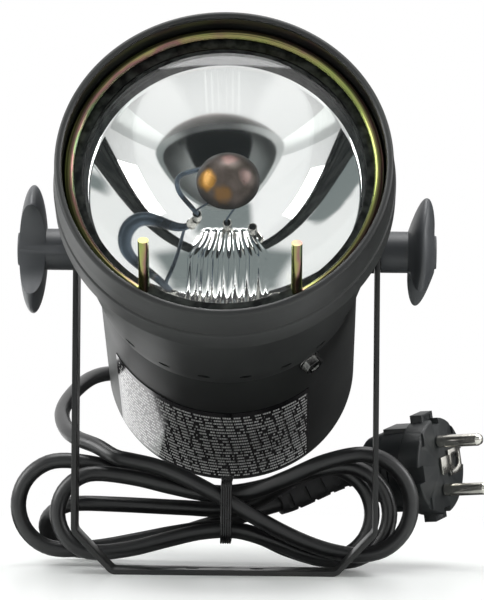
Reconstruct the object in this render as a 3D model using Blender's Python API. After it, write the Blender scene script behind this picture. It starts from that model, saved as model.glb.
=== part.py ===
"""Pinspot light: a tilting round lamp head in a U-shaped yoke, with its mains lead tied in a hank behind it.

The origin is the middle of the yoke's foot, on the surface that the light stands on. +Z is up and the lamp
looks towards -Y. Sizes are in millimetres and become metres through MM. Pieces of the head are given by
their station along the lamp's axis (forwards from the pivot) and their radius from that axis.
"""
import math

import bmesh
import bpy
from mathutils import Matrix, Vector

MM = 0.001
ROUND = 60
SMALL_ROUND = 16
GAP = 0.3

# Stance
PIVOT_HEIGHT = 120.5
REST_TILT = 25.2

# Lamp, a sealed reflector bulb
LAMP_DIAMETER = 114.3
LAMP_FLANGE_BACK = 58.0
LAMP_FLANGE = 3.0
LENS_RIM = 3.0
LENS_RISE = 5.2
LENS_WALL = 2.6
LENS_RIM_WIDTH = 4.0
LENS_STEPS = 5
MIRROR_EDGE_INSET = 8.15
MIRROR_DEPTH_SHARE = 0.589
MIRROR_WALL = 2.5
MIRROR_STEPS = 8
LAMP_NECK_RADIUS = 16.0
LAMP_NECK_BACK = 17.5

# Front housing, turned from sheet with a rolled lip and a raised band
HOUSING_FRONT = 75.6
HOUSING_BACK = -7.2
HOUSING_BACK_RADIUS = 50.7
HOUSING_WALL = 1.5
LIP_WIDTH = 2.55
BORE_CLEARANCE = 0.6
SHOULDER_WIDTH = 2.4
BAND_RISE = 3.75
BAND_FRONT = 59.2
BAND_BACK = 48.4
WAIST_RISE = 0.85
TAPER_START = 42.0
TAPER_START_RISE = 0.25
VENT_COUNT = 21
VENT_LENGTH = 3.8
VENT_WIDTH = 1.3
VENT_STATION = 0.0
VENT_FREE_ANGLE = 15.0

# Rear can
CAN_FRONT = -1.8
CAN_BACK = -111.0
CAN_WALL = 1.2
CAN_EDGE_RADIUS = 4.0

# Retaining ring, one piece of sprung wire
RING_WIRE = 3.9
RING_LEG_LENGTH = 23.0
RING_LEG_RISE = 30.0
RING_OPENING = (-29.0, 28.0)

# Filament group inside the lamp
FERRULE_RADIUS = 1.7
FERRULE_LENGTH = 3.6
FERRULES = ((-10.5, 0.2), (0.5, -2.5), (9.8, -5.0))
FILAMENT_STATION = 46.0
FILAMENT_LENGTH = 8.4
FILAMENT_RADIUS = 1.0
POST_RADIUS = 0.6
CAP_RADIUS = 11.4
CAP_DEPTH = 7.0
CAP_STATION = 56.0
CAP_RAISE = 0.9
CAP_WALL = 0.8
CAP_STEPS = 5
TERMINAL_RADIUS = 3.0
TERMINAL_LENGTH = 9.5
TERMINAL_OFFSET = 9.5
LAMP_WIRE_RADIUS = 1.1

# Transformer inside the can
CORE_WIDTH = 54.0
CORE_HEIGHT = 45.0
CORE_DEPTH = 24.6
CORE_CENTRE = -72.3
LEG_WIDTH = 18.0
COIL_WALL = 8.4
FRAME_THICKNESS = 1.2
FRAME_WIDTH = 7.0
FRAME_FOOT = 9.0
FRAME_SCREW_RADIUS = 1.5
FRAME_SCREW_HEAD = 3.0
BLOCK_SIZE = (22.0, 11.7, 10.5)

# Earth screw beside the housing's back edge
EARTH_ANGLE = 38.7
EARTH_STATION = -13.2
EARTH_RADIUS = 2.0
EARTH_HEAD_WIDTH = 7.0
EARTH_HEAD_HEIGHT = 3.0
EARTH_NUT_HEIGHT = 2.8

# Rating label, a thin sticker that follows the can's facets
LABEL_FRONT = -40.0
LABEL_BACK = -105.0
LABEL_FACETS = (-10, 6)
LABEL_THICKNESS = 0.25
LABEL_GAP = 0.05

# Mains gland in the middle of the can's back
GLAND_NECK_RADIUS = 5.9
GLAND_FLANGE_RADIUS = 9.0
GLAND_FLANGE = 3.0
GLAND_TAPER = (6.6, 4.3)
GLAND_LENGTH = 24.0
GLAND_NUT_HEIGHT = 4.0

# Yoke, one bent steel strip
YOKE_STRIP = 1.8
YOKE_DEPTH = 20.0
YOKE_FOOT_WIDTH = 84.4
YOKE_CHAMFER_HEIGHT = 16.0
YOKE_BEND = 3.5
YOKE_PIVOT_HOLE = 3.2
FOOT_HOLE_RADIUS = 2.6
FOOT_HOLE_SPACING = 24.0

# Clamp knobs, each a moulded two-lobed grip on a threaded stud
STUD_RADIUS = 2.5
STUD_CLEARANCE = 0.3
STUD_INNER_END = 43.0
STUD_GRIP = 8.0
HUB_RADIUS = 7.75
GRIP_SPAN = 48.0
GRIP_THICKNESS = 10.4
GRIP_CENTRE = 15.3
BUMP_RADIUS = 7.5
BUMP_END = 21.0
SCOOP_RADIUS = 18.45
SCOOP_OFFSET = 25.95
KNOB_TURN = {"left": 0.0, "right": 80.0}
SPACER_RADIUS = 8.0
SPACER_LENGTH = 1.645
PIVOT_NUT_WIDTH = 8.0
PIVOT_NUT_HEIGHT = 4.0

# Mains cord
CORD_DIAMETER = 6.0
CORD_SPACING = 7.0
LEAD_ROUTE = (
    (-7.0, 141.0, 57.5), (-20.0, 147.0, 60.5), (-35.0, 141.5, 66.0), (-47.0, 126.0, 70.0),
    (-56.0, 107.0, 69.0), (-62.5, 86.0, 63.5), (-65.5, 66.0, 57.0), (-63.0, 48.0, 51.5),
    (-58.0, 36.0, 48.2), (-49.5, 26.0, 45.6),
)
HANK_START = (-36.0, 18.4, 40.7)

# Hank: each fold is its side, reach from the tie, bend radius, distance back, lowest height and lean
FOLDS = (
    (1, 70.0, 19.0, 13.5, 6.2, 0.0),
    (-1, 64.0, 15.0, 20.5, 5.6, 0.0),
    (1, 62.0, 18.0, 20.5, 3.2, 0.0),
    (-1, 79.5, 17.0, 27.5, 6.0, 0.0),
    (1, 55.5, 17.5, 27.5, 3.2, 0.0),
    (-1, 70.0, 14.0, 44.4, 3.4, 45.0),
)
WAIST_HEIGHTS = (27.8, 14.6, 28.2, 14.8, 21.6)
FOLD_POINTS = 7
RUN_POINTS = 6
CROSSING_POINTS = 9
CROSSING_FALL = 0.3
CLIMB_FROM = 38.0
HANK_TAIL = ((-42.0, 50.8, 4.6), (-24.0, 44.6, 9.4), (-8.0, 40.2, 14.8), (5.0, 40.6, 18.4))
LEAST_SELF_GAP = 0.4

# Tie round the hank's waist
TIE_WIDTH = 4.0
TIE_THICKNESS = 1.0
TIE_REACH = (10.1, 44.0)
TIE_HEIGHTS = (10.8, 33.2)
TIE_CORNER = 3.4

# Moulded mains plug
PLUG_FACE = (82.0, 34.0, 39.0)
PLUG_AXIS = (0.86, -0.50, 0.08)
PLUG_LEAN = (-0.16, -0.10, 0.98)
PLUG_RADIUS = 18.5
PLUG_FLANGE = 9.0
PLUG_GRIP_RADII = (16.0, 15.3, 12.0)
PLUG_LENGTH = 31.0
PLUG_TAB = (9.0, 2.4, 5.0)
PLUG_NOTCH = (4.2, 6.4)
PIN_RADIUS = 2.4
PIN_LENGTH = 19.0
PIN_PITCH = 19.0
EARTH_PLATE = (9.0, 8.4, 0.8)
EARTH_PLATE_OFFSET = 9.4
EARTH_PLATE_HOLE = 2.6
RELIEF_RADII = (6.0, 4.3)
RELIEF_TIP = (20.0, 46.0, 23.0)
RELIEF_TIP_DIRECTION = (-0.90, -0.36, -0.25)
RELIEF_STRAIGHT = 3.0
RELIEF_PULL = 12.0
RELIEF_POINTS = 10

# Sizes that follow from those above
LAMP_RADIUS = LAMP_DIAMETER / 2
BORE_RADIUS = LAMP_RADIUS + BORE_CLEARANCE
LIP_RADIUS = BORE_RADIUS + LIP_WIDTH
BAND_RADIUS = BORE_RADIUS + BAND_RISE
WAIST_RADIUS = BORE_RADIUS + WAIST_RISE
TAPER_START_RADIUS = BORE_RADIUS + TAPER_START_RISE
TAPER_SLOPE = (TAPER_START_RADIUS - HOUSING_BACK_RADIUS) / (TAPER_START - HOUSING_BACK)
LAMP_FLANGE_FRONT = LAMP_FLANGE_BACK + LAMP_FLANGE
LENS_BACK = LAMP_FLANGE_FRONT + GAP
LENS_FRONT = LENS_BACK + LENS_RIM
MIRROR_EDGE_RADIUS = LAMP_RADIUS - MIRROR_EDGE_INSET
MIRROR_FOCUS = MIRROR_EDGE_RADIUS / (4 * MIRROR_DEPTH_SHARE)
MIRROR_VERTEX = LAMP_FLANGE_BACK - 4.3 - MIRROR_EDGE_RADIUS * MIRROR_DEPTH_SHARE
CAN_RADIUS = HOUSING_BACK_RADIUS - HOUSING_WALL - GAP
CAN_INNER = CAN_RADIUS - CAN_WALL
CAN_FLOOR = CAN_BACK + CAN_WALL
RING_RADIUS = BORE_RADIUS - GAP - RING_WIRE / 2
RING_STATION = LENS_FRONT + GAP + RING_WIRE / 2
SPACER_SEAT = HOUSING_BACK_RADIUS + TAPER_SLOPE * (SPACER_RADIUS - HOUSING_BACK) + GAP
ARM_INNER = SPACER_SEAT + SPACER_LENGTH + GAP
ARM_OUTER = ARM_INNER + YOKE_STRIP
STUD_HOLE = STUD_RADIUS + STUD_CLEARANCE
GLAND_HOLE = GLAND_NECK_RADIUS + GAP
GLAND_TIP = CAN_BACK - GAP - GLAND_FLANGE - GLAND_LENGTH
CORD_RADIUS = CORD_DIAMETER / 2
SIDES = {"left": -1, "right": 1}


def clear_scene():
    """Removes everything that the open file shows."""
    for thing in list(bpy.data.objects):
        bpy.data.objects.remove(thing, do_unlink=True)


def paint(name, colour, roughness, metallic=0.0, transmission=0.0):
    """Principled material of one colour."""
    material = bpy.data.materials.new(name)
    material.use_nodes = True
    surface = material.node_tree.nodes["Principled BSDF"]
    surface.inputs["Base Color"].default_value = (*colour, 1.0)
    surface.inputs["Roughness"].default_value = roughness
    surface.inputs["Metallic"].default_value = metallic
    surface.inputs["Transmission Weight"].default_value = transmission
    material.diffuse_color = (*colour, 1.0)
    return material


def place(name, data, material, parent=None, location=(0, 0, 0)):
    """Links new data into the scene as one named object."""
    thing = bpy.data.objects.new(name, data)
    bpy.context.scene.collection.objects.link(thing)
    thing.location = location
    thing.parent = parent
    if material:
        data.materials.append(material)
    return thing


def solid(name, shape, material, parent=None, location=(0, 0, 0), crease=35):
    """Turns a bmesh into a named object whose round faces are shaded smooth."""
    bmesh.ops.recalc_face_normals(shape, faces=shape.faces)
    mesh = bpy.data.meshes.new(name)
    shape.to_mesh(mesh)
    shape.free()
    mesh.shade_smooth()
    mesh.set_sharp_from_angle(angle=math.radians(crease))
    return place(name, mesh, material, parent, location)


def empty(name, location, tilt=0.0, parent=None):
    """Empty on a joint's axis."""
    thing = bpy.data.objects.new(name, None)
    bpy.context.scene.collection.objects.link(thing)
    thing.location = location
    thing.rotation_euler.x = tilt
    thing.parent = parent
    return thing


def axial(station, x=0.0, up=0.0):
    """Point of the head's own frame, in metres."""
    return Vector((x * MM, -station * MM, up * MM))


def turned_shape(outline, steps=ROUND):
    """Bmesh turned about the lamp's axis from (station, radius) points."""
    shape = bmesh.new()
    points = [shape.verts.new(axial(station, 0, radius)) for station, radius in outline]
    pairs = list(zip(points, points[1:]))
    if outline[0][1] > 0 or outline[-1][1] > 0:
        pairs.append((points[-1], points[0]))
    edges = [shape.edges.new(pair) for pair in pairs]
    bmesh.ops.spin(shape, geom=points + edges, cent=(0, 0, 0), axis=(0, 1, 0),
                   angle=math.tau, steps=steps, use_merge=True)
    bmesh.ops.remove_doubles(shape, verts=shape.verts, dist=1e-6)
    return shape


def along(start, end):
    """Matrix that takes a unit cylinder's own Z axis to the line from start to end."""
    line = Vector(end) - Vector(start)
    turn = line.to_track_quat("Z", "Y").to_matrix().to_4x4()
    return Matrix.Translation((Vector(start) + Vector(end)) / 2) @ turn, line.length


def add_rod(shape, start, end, radius, end_radius=None, sides=SMALL_ROUND):
    """Adds a cylinder or cone between two points in metres, with its radii in millimetres."""
    matrix, length = along(start, end)
    tip = radius if end_radius is None else end_radius
    bmesh.ops.create_cone(shape, cap_ends=True, segments=sides, radius1=radius * MM,
                          radius2=tip * MM, depth=length, matrix=matrix)


def rod(name, start, end, radius, material, parent=None, end_radius=None, sides=SMALL_ROUND):
    """One cylinder or cone as an object."""
    shape = bmesh.new()
    add_rod(shape, start, end, radius, end_radius, sides)
    return solid(name, shape, material, parent)


def add_block(shape, centre, size, turn=None):
    """Adds a box of the given size in millimetres round a centre in metres."""
    matrix = Matrix.Translation(centre)
    if turn:
        matrix = matrix @ turn
    matrix = matrix @ Matrix.Diagonal((size[0] * MM, size[1] * MM, size[2] * MM, 1))
    bmesh.ops.create_cube(shape, size=1, matrix=matrix)


def combine(target, other, operation):
    """Joins other to target, or cuts it out, and hides it as a guide."""
    step = target.modifiers.new(operation.title(), "BOOLEAN")
    step.operation = operation
    step.object = other
    other.hide_render = True
    other.display_type = "WIRE"


def guide(name, shape, parent=None):
    """A cutter's or a joined lump's own object."""
    return solid(name, shape, None, parent)


def smooth_route(stops, spacing):
    """Even points, spacing apart, on a smooth curve through all the stops."""
    stops = [Vector(stop) for stop in stops]
    ends = [2 * stops[0] - stops[1]] + stops + [2 * stops[-1] - stops[-2]]
    fine = []
    for before, here, ahead, after in zip(ends, ends[1:], ends[2:], ends[3:]):
        for i in range(16):
            t = i / 16
            fine.append(0.5 * (2 * here + (ahead - before) * t
                               + (2 * before - 5 * here + 4 * ahead - after) * t ** 2
                               + (3 * here - before - 3 * ahead + after) * t ** 3))
    fine.append(stops[-1])
    run = [0.0]
    for one, two in zip(fine, fine[1:]):
        run.append(run[-1] + (two - one).length)
    count = max(2, round(run[-1] / spacing))
    points = []
    k = 0
    for i in range(count + 1):
        goal = run[-1] * i / count
        while k < len(run) - 2 and run[k + 1] < goal:
            k += 1
        share = (goal - run[k]) / (run[k + 1] - run[k])
        points.append(fine[k].lerp(fine[k + 1], share))
    return points


def tube(name, points, radius, material, parent=None, detail=2, radii=None):
    """Round tube with filled ends through points in millimetres."""
    curve = bpy.data.curves.new(name, "CURVE")
    curve.dimensions = "3D"
    curve.bevel_depth = radius * MM
    curve.bevel_resolution = detail
    curve.use_fill_caps = True
    line = curve.splines.new("POLY")
    line.points.add(len(points) - 1)
    for i, point in enumerate(points):
        line.points[i].co = (*(Vector(point) * MM), 1)
        line.points[i].radius = radii[i] / radius if radii else 1.0
        line.use_smooth = True
    return place(name, curve, material, parent)


def head_point(station, x, up):
    """Head frame point in millimetres, for routes."""
    return (x, -station, up)


def ease(t):
    """Rises smoothly from 0 to 1."""
    t = max(0.0, min(1.0, t))
    return t * t * (3 - 2 * t)


def rounded_path(corners, radius, steps=4):
    """Path of (a, b) points whose inner corners become arcs of the given radius."""
    path = [Vector(corners[0])]
    for before, corner, after in zip(corners, corners[1:], corners[2:]):
        corner = Vector(corner)
        back = (Vector(before) - corner).normalized()
        ahead = (Vector(after) - corner).normalized()
        half = back.angle(ahead) / 2
        centre = corner + (back + ahead).normalized() * (radius / math.sin(half))
        reach = radius / math.tan(half)
        first = corner + back * reach - centre
        last = corner + ahead * reach - centre
        for i in range(steps + 1):
            path.append(centre + first.slerp(last, i / steps).normalized() * radius)
    path.append(Vector(corners[-1]))
    return path


def strip_shape(path, thickness, half_widths, to_point):
    """Bent strip of even thickness along a flat path; to_point places (a, b, across) in the object."""
    shape = bmesh.new()
    rows = []
    for i, point in enumerate(path):
        before = (point - path[i - 1]).normalized() if i else (path[1] - point).normalized()
        after = (path[i + 1] - point).normalized() if i + 1 < len(path) else before
        run = (before + after).normalized()
        normal = Vector((-run.y, run.x)) * (thickness / 2 / max(0.5, run.dot(before)))
        wide = half_widths[i]
        corners = ((normal, -wide), (normal, wide), (-normal, wide), (-normal, -wide))
        rows.append([shape.verts.new(to_point(*(point + side), across)) for side, across in corners])
    for one, two in zip(rows, rows[1:]):
        for k in range(4):
            shape.faces.new((one[k], one[(k + 1) % 4], two[(k + 1) % 4], two[k]))
    shape.faces.new(rows[0])
    shape.faces.new(rows[-1])
    return shape


def housing_radius(station):
    """Outer radius of the housing's long taper."""
    return HOUSING_BACK_RADIUS + TAPER_SLOPE * (station - HOUSING_BACK)


def make_front_housing(paints, head):
    """Flared shell round the lamp, with its lip, band, lamp shoulder, vents and pivot holes."""
    lip_back = HOUSING_FRONT - 1.2
    shoulder = LAMP_FLANGE_BACK - GAP
    inner = BORE_RADIUS - SHOULDER_WIDTH
    middle = (BAND_BACK - 4.0 + HOUSING_BACK) / 2
    outline = [
        (lip_back, BORE_RADIUS),
        (HOUSING_FRONT - 0.3, BORE_RADIUS + 0.5),
        (HOUSING_FRONT, BORE_RADIUS + 1.2),
        (HOUSING_FRONT - 0.3, LIP_RADIUS - 0.5),
        (lip_back, LIP_RADIUS),
        (BAND_FRONT + 7.0, LIP_RADIUS + 0.5),
        (BAND_FRONT + 2.0, LIP_RADIUS + 0.7),
        (BAND_FRONT + 1.0, LIP_RADIUS + 0.3),
        (BAND_FRONT, BAND_RADIUS - 0.3),
        (BAND_FRONT - 0.6, BAND_RADIUS),
        (BAND_BACK + 0.8, BAND_RADIUS),
        (BAND_BACK, BAND_RADIUS - 0.6),
        (BAND_BACK - 0.3, WAIST_RADIUS),
        (TAPER_START, TAPER_START_RADIUS),
        (HOUSING_BACK, HOUSING_BACK_RADIUS),
        (HOUSING_BACK, HOUSING_BACK_RADIUS - HOUSING_WALL),
        (middle, housing_radius(middle) - HOUSING_WALL),
        (BAND_BACK - 4.0, inner),
        (shoulder, inner),
        (shoulder, BORE_RADIUS),
    ]
    housing = solid("front_housing", turned_shape(outline), paints["black_coat"], head)

    vents = bmesh.new()
    step = 360 / VENT_COUNT
    middle_radius = housing_radius(VENT_STATION) - HOUSING_WALL / 2
    for i in range(VENT_COUNT):
        angle = (i + 0.5) * step
        side = min(abs(angle - 90), abs(angle - 270))
        if side > VENT_FREE_ANGLE:
            turn = Matrix.Rotation(math.radians(-angle), 4, "Y")
            place_at = turn @ axial(VENT_STATION, 0, -middle_radius)
            add_block(vents, place_at, (VENT_LENGTH, VENT_WIDTH, 4 * HOUSING_WALL), turn)
    combine(housing, guide("vent_cutter", vents, head), "DIFFERENCE")

    holes = bmesh.new()
    for side in SIDES.values():
        add_rod(holes, axial(0, side * HOUSING_BACK_RADIUS * 0.8), axial(0, side * BAND_RADIUS), STUD_HOLE)
    combine(housing, guide("pivot_cutter", holes, head), "DIFFERENCE")


def make_rear_can(paints, head):
    """Closed can behind the housing, notched for the pivot nuts and drilled for what it carries."""
    edge = []
    for i in range(5):
        angle = math.radians(90 * i / 4)
        edge.append((CAN_BACK + CAN_EDGE_RADIUS * (1 - math.sin(angle)),
                     CAN_RADIUS - CAN_EDGE_RADIUS * (1 - math.cos(angle))))
    inner_edge = CAN_EDGE_RADIUS - CAN_WALL
    outline = [(CAN_FRONT, CAN_RADIUS)] + edge + [
        (CAN_BACK, GLAND_HOLE),
        (CAN_FLOOR, GLAND_HOLE),
        (CAN_FLOOR, CAN_INNER - inner_edge),
        (CAN_FLOOR + inner_edge * 0.3, CAN_INNER - inner_edge * 0.3),
        (CAN_FLOOR + inner_edge, CAN_INNER),
        (CAN_FRONT, CAN_INNER),
    ]
    can = solid("rear_can", turned_shape(outline), paints["black_coat"], head)

    cuts = bmesh.new()
    for side in SIDES.values():
        notch = PIVOT_NUT_WIDTH * 0.6 + GAP
        add_rod(cuts, axial(0, side * CAN_RADIUS * 0.8), axial(0, side * CAN_RADIUS * 1.2), notch)
        at = frame_screw_place(side)
        add_rod(cuts, axial(CAN_BACK - 3, *at), axial(CAN_FLOOR + 3, *at), FRAME_SCREW_RADIUS + GAP)
    outward = earth_direction()
    start = axial(EARTH_STATION) + outward * (CAN_INNER - 5) * MM
    end = axial(EARTH_STATION) + outward * (CAN_RADIUS + 5) * MM
    add_rod(cuts, start, end, EARTH_RADIUS + GAP)
    combine(can, guide("can_cutter", cuts, head), "DIFFERENCE")


def make_lamp(paints, head):
    """Sealed bulb: glass lens, mirror bowl, ferrules, filament, glare cap and its terminals."""
    edge = LAMP_RADIUS - LENS_RIM_WIDTH
    front = []
    back = []
    for i in range(LENS_STEPS + 1):
        share = i / LENS_STEPS
        station = LENS_FRONT + LENS_RISE * (1 - share ** 2)
        front.append((station, edge * share))
        back.append((station - LENS_WALL, edge * share))
    back.pop()
    outline = front + [(LENS_FRONT, LAMP_RADIUS - 0.5), (LENS_FRONT - 0.5, LAMP_RADIUS),
                       (LENS_BACK, LAMP_RADIUS), (LENS_BACK, edge - 1.5)] + back[::-1]
    solid("lamp_lens", turned_shape(outline), paints["clear_glass"], head)

    inside = []
    outside = []
    for i in range(MIRROR_STEPS + 1):
        radius = MIRROR_EDGE_RADIUS * i / MIRROR_STEPS
        station = MIRROR_VERTEX + radius ** 2 / (4 * MIRROR_FOCUS)
        inside.append((station, radius))
        if radius > LAMP_NECK_RADIUS:
            outside.append((station - MIRROR_WALL * 0.7, radius + MIRROR_WALL * 0.7))
    outline = inside + [
        (LAMP_FLANGE_FRONT, MIRROR_EDGE_RADIUS + 2.0),
        (LAMP_FLANGE_FRONT, LAMP_RADIUS),
        (LAMP_FLANGE_BACK, LAMP_RADIUS),
        (LAMP_FLANGE_BACK, MIRROR_EDGE_RADIUS + 3.6),
    ] + outside[::-1] + [
        (LAMP_NECK_BACK + 3.0, LAMP_NECK_RADIUS),
        (LAMP_NECK_BACK, LAMP_NECK_RADIUS - 2.0),
        (LAMP_NECK_BACK, 0.0),
    ]
    solid("lamp_reflector", turned_shape(outline), paints["mirror"], head)

    tops = []
    for i, (x, up) in enumerate(FERRULES):
        reach = math.hypot(x, up) + FERRULE_RADIUS
        base = MIRROR_VERTEX + reach ** 2 / (4 * MIRROR_FOCUS) + GAP
        tops.append(base + FERRULE_LENGTH)
        rod(f"ferrule_{i + 1}", axial(base, x, up), axial(tops[-1], x, up),
            FERRULE_RADIUS, paints["nickel"], head, sides=12)

    half = FILAMENT_LENGTH / 2
    rod("filament", axial(FILAMENT_STATION, -half), axial(FILAMENT_STATION, half),
        FILAMENT_RADIUS, paints["tungsten"], head, sides=10)
    for i, side in ((1, -1), (2, 1)):
        x, up = FERRULES[i]
        end_x = side * (half + GAP + POST_RADIUS)
        stops = (head_point(tops[i] + GAP, x, up), head_point(tops[i] + 3, x, up),
                 head_point(FILAMENT_STATION - 4, end_x, 0), head_point(FILAMENT_STATION + 1, end_x, 0))
        tube(f"filament_post_{i}", smooth_route(stops, 1.8), POST_RADIUS, paints["nickel"], head)

    ball = (CAP_RADIUS ** 2 + CAP_DEPTH ** 2) / (2 * CAP_DEPTH)
    span = math.asin(CAP_RADIUS / ball)
    outer = []
    inner = []
    for i in range(CAP_STEPS + 1):
        angle = span * i / CAP_STEPS
        outer.append((CAP_STATION + CAP_DEPTH - ball * (1 - math.cos(angle)), ball * math.sin(angle)))
        small = ball - CAP_WALL
        inner.append((CAP_STATION + CAP_DEPTH - ball + small * math.cos(angle), small * math.sin(angle)))
    cap = solid("filament_cap", turned_shape(outer + inner[::-1], 28), paints["bronze"], head)
    cap.location.z = CAP_RAISE * MM

    x, up = FERRULES[0]
    rim_angle = math.radians(148)
    rim = (CAP_RADIUS - 1.2)
    end = (rim * math.cos(rim_angle), CAP_RAISE + rim * math.sin(rim_angle))
    stops = (head_point(tops[0] + GAP, x, up), head_point(tops[0] + 3, x - 1.5, up + 0.6),
             head_point(40, x - 6.5, up + 4.5), head_point(48, x - 6, up + 6.5),
             head_point(CAP_STATION - 2.0, end[0] - 1.2, end[1] + 0.3),
             head_point(CAP_STATION - 0.9 - POST_RADIUS, *end))
    tube("cap_strap", smooth_route(stops, 2.2), 0.9, paints["nickel"], head)

    for i, side in ((1, -1), (2, 1)):
        at = side * TERMINAL_OFFSET
        back = LAMP_NECK_BACK - GAP - TERMINAL_LENGTH
        rod(f"lamp_terminal_{i}", axial(LAMP_NECK_BACK - GAP, at), axial(back, at),
            TERMINAL_RADIUS, paints["nickel"], head, sides=12)
        coil_front = CORE_CENTRE + coil_depth() / 2
        stops = (head_point(back - GAP, at, 0), head_point(back - 6, at, 0),
                 head_point(-16, side * 14, 7), head_point(-36, side * 13, 10),
                 head_point(coil_front + 4, side * 8.2, 8), head_point(coil_front + GAP, side * 8, 8))
        tube(f"lamp_wire_{i}", smooth_route(stops, 5), LAMP_WIRE_RADIUS, paints["white_wire"], head)


def make_lamp_ring(paints, head):
    """Sprung wire that holds the lamp against its shoulder, its two ends bent forwards as finger grips."""
    first, last = (math.radians(angle) for angle in RING_OPENING)
    steps = 44
    points = []
    for i in range(steps + 1):
        angle = last + (math.tau - last + first) * i / steps
        points.append(Vector(head_point(RING_STATION, RING_RADIUS * math.sin(angle),
                                        -RING_RADIUS * math.cos(angle))))
    rise = math.radians(RING_LEG_RISE)
    leg = Vector(head_point(math.cos(rise), 0, math.sin(rise)))
    ends = []
    for corner, inward in ((points[0], points[1]), (points[-1], points[-2])):
        run = (corner - inward).normalized()
        bend = [corner + run * 1.6 + leg * 0.6, corner + run * 2.6 + leg * 2.0, corner + run * 3.0 + leg * 4.0]
        ends.append(bend + [corner + run * 3.0 + leg * RING_LEG_LENGTH])
    path = ends[0][::-1] + points + ends[1]
    tube("lamp_ring", path, RING_WIRE / 2, paints["zinc"], head)


def coil_depth():
    """Front to back size of the winding, which stands out of the core on both sides."""
    return CORE_DEPTH + 2 * (COIL_WALL + GAP)


def frame_screw_place(side):
    """Where a screw holds the transformer's frame, as (x, up)."""
    x = CORE_WIDTH / 2 + GAP + FRAME_THICKNESS + FRAME_FOOT / 2
    return side * x, (CORE_HEIGHT - LEG_WIDTH / 2) / 2


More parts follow.
